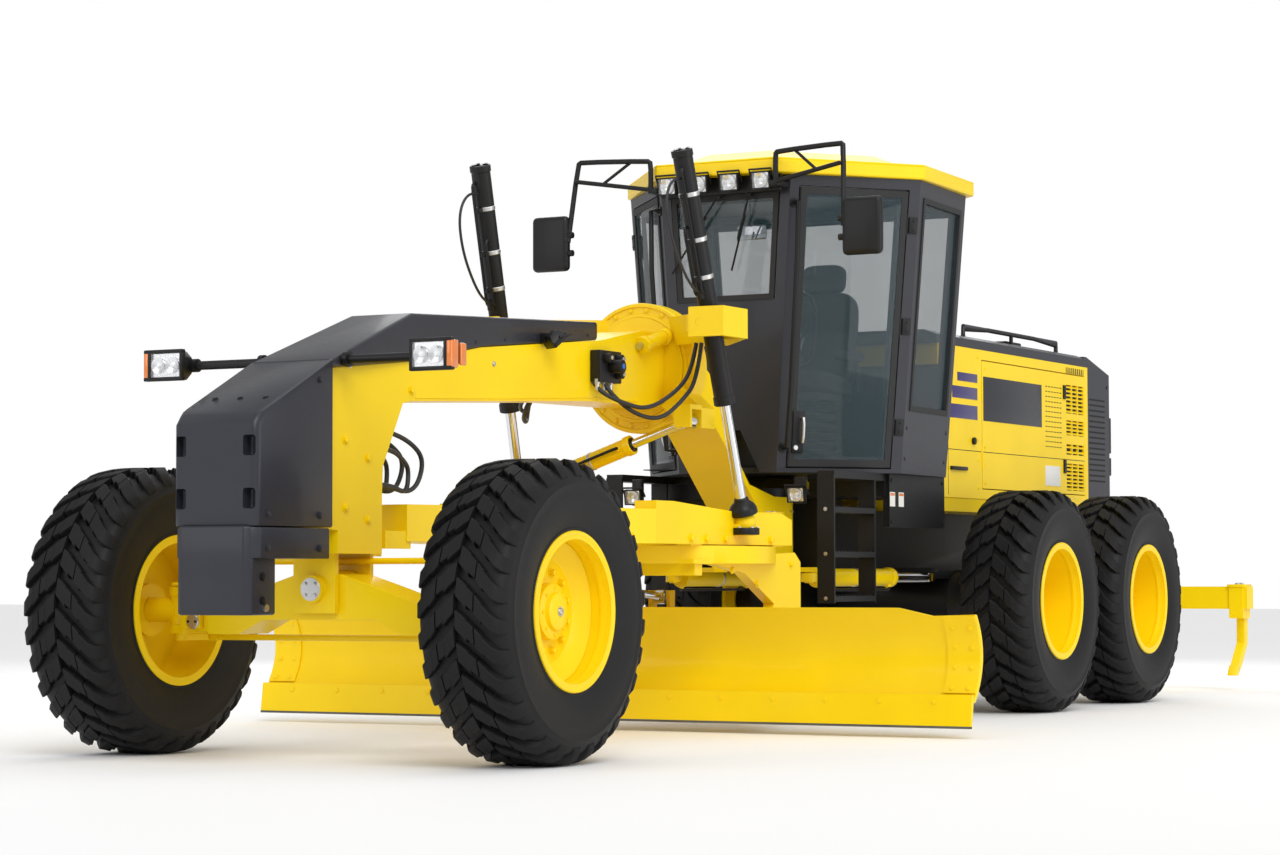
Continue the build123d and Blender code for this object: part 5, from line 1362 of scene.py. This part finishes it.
# ---- stage --------------------------------------------------------------------------------
def stage():
    """A pale floor, the white surround and the studio's lights."""
    floor = material("pale_floor", (0.93, 0.93, 0.93), 0.7, shine=0.1)
    mesh = bpy.data.meshes.new("floor")
    far = 60
    mesh.from_pydata([(-far, -far, 0), (far, -far, 0), (far, far, 0), (-far, far, 0)], [], [(0, 1, 2, 3)])
    mesh.materials.append(floor)
    made = placed("floor", mesh)
    world = bpy.data.worlds.new("studio")
    bpy.context.scene.world = world
    world.use_nodes = True
    nodes, links = world.node_tree.nodes, world.node_tree.links
    nodes["Background"].inputs["Color"].default_value = (1, 1, 1, 1)
    path = nodes.new("ShaderNodeLightPath")
    level = nodes.new("ShaderNodeMapRange")
    level.inputs["To Min"].default_value = 0.58
    level.inputs["To Max"].default_value = 1.0
    links.new(path.outputs["Is Camera Ray"], level.inputs["Value"])
    links.new(level.outputs["Result"], nodes["Background"].inputs["Strength"])
    sun = bpy.data.lights.new("key", "SUN")
    sun.energy = 1.5
    sun.angle = math.radians(35)
    made = placed("key", sun)
    made.rotation_euler = Vector((-8, -8, -9)).to_track_quat("-Z", "Y").to_euler()
    # (name, place, size, power)
    for name, place, size, power in (
            ("fill", (10, -6, 6), 7, 250), ("top", (-4, 1, 11), 9, 250), ("back", (-13, -5, 6), 6, 300),
            ("side", (-4, 13, 3), 7, 300)):
        lamp = bpy.data.lights.new(name, "AREA")
        lamp.size = size
        lamp.energy = power
        made = placed(name, lamp)
        made.location = place
        made.rotation_euler = (Vector((-3.5, 0, 1.2)) - Vector(place)).to_track_quat("-Z", "Y").to_euler()


def camera():
    """The photo's viewpoint: place, heading and lens."""
    eye = Vector((11.237, 7.664, 0.798))
    yaw, pitch, roll = math.radians(28.592), math.radians(2.78), math.radians(-0.113)
    ahead = Vector((-math.cos(yaw) * math.cos(pitch), -math.sin(yaw) * math.cos(pitch), math.sin(pitch)))
    lens = bpy.data.cameras.new("camera")
    lens.lens = 86.27
    lens.sensor_width = 36
    made = placed("camera", lens)
    made.location = eye
    level = ahead.to_track_quat("-Z", "Y").to_matrix()
    made.rotation_euler = (level @ Matrix.Rotation(roll, 3, "Z")).to_euler()
    bpy.context.scene.camera = made


# ---- finishes of the CAD pieces -----------------------------------------------------------
def finishes():
    for name in NODES:
        paint(YELLOW, name)
    paint(CHARCOAL, "counterweight_and_cover", "cab_frame", "left_door", "right_door", "engine_cover")
    paint(BLACK, "rear_frame", "tandem_cases", "mirrors_and_lamps", "headlamps", "left_lift_barrel",
          "right_lift_barrel")
    paint(CHROME, "left_lift_rod", "right_lift_rod", "shift_rod", "left_hinge_rod", "right_hinge_rod",
          "tilt_rod", "ripper_rod")
    paint(GLASS, "cab_glass")
    paint(CLOTH, "seat_and_column")
    paint(CAST, "engine")


finishes()
tyres()
rims()
# (node, finish, width of its eased edges)
for node, finish, width in (
        ("front_axle", YELLOW, 0.008), ("left_yoke", YELLOW, 0.004), ("right_yoke", YELLOW, 0.004),
        ("front_frame", YELLOW, 0.008), ("drawbar", YELLOW, 0.006), ("circle", YELLOW, 0.006),
        ("pitch_carrier", YELLOW, 0.005), ("saddle_ring", YELLOW, 0.008), ("rear_frame", BLACK, 0.004),
        ("tandem_cases", BLACK, 0.012), ("hood", YELLOW, 0.012), ("engine_cover", CHARCOAL, 0.016),
        ("cab_frame", CHARCOAL, 0.006), ("cab_roof", YELLOW, 0.012), ("ripper", YELLOW, 0.006),
        ("left_door", CHARCOAL, 0.004), ("right_door", CHARCOAL, 0.004), ("left_lift_gimbal", YELLOW, 0.012),
        ("right_lift_gimbal", YELLOW, 0.012)):
    dressed(node, finish, width)
dressed("moldboard", YELLOW, 0.003, cut=blade_dips())
for section in (front_block, headlamps, frame_fittings, frame_lamps, front_axle_fittings, column_hoses,
                lift_cylinders, lift_hoses, saddle_fittings, blade_fittings, work_gear_fittings, cylinders,
                cab_windows, cab_doors, cab_outside, mirrors_and_lamps, roof_details, interior, hood_sides,
                hood_top, rear_end, chassis, ripper_fittings):
    section()
stage()
camera()
bpy.context.scene.view_settings.view_transform = "Standard"
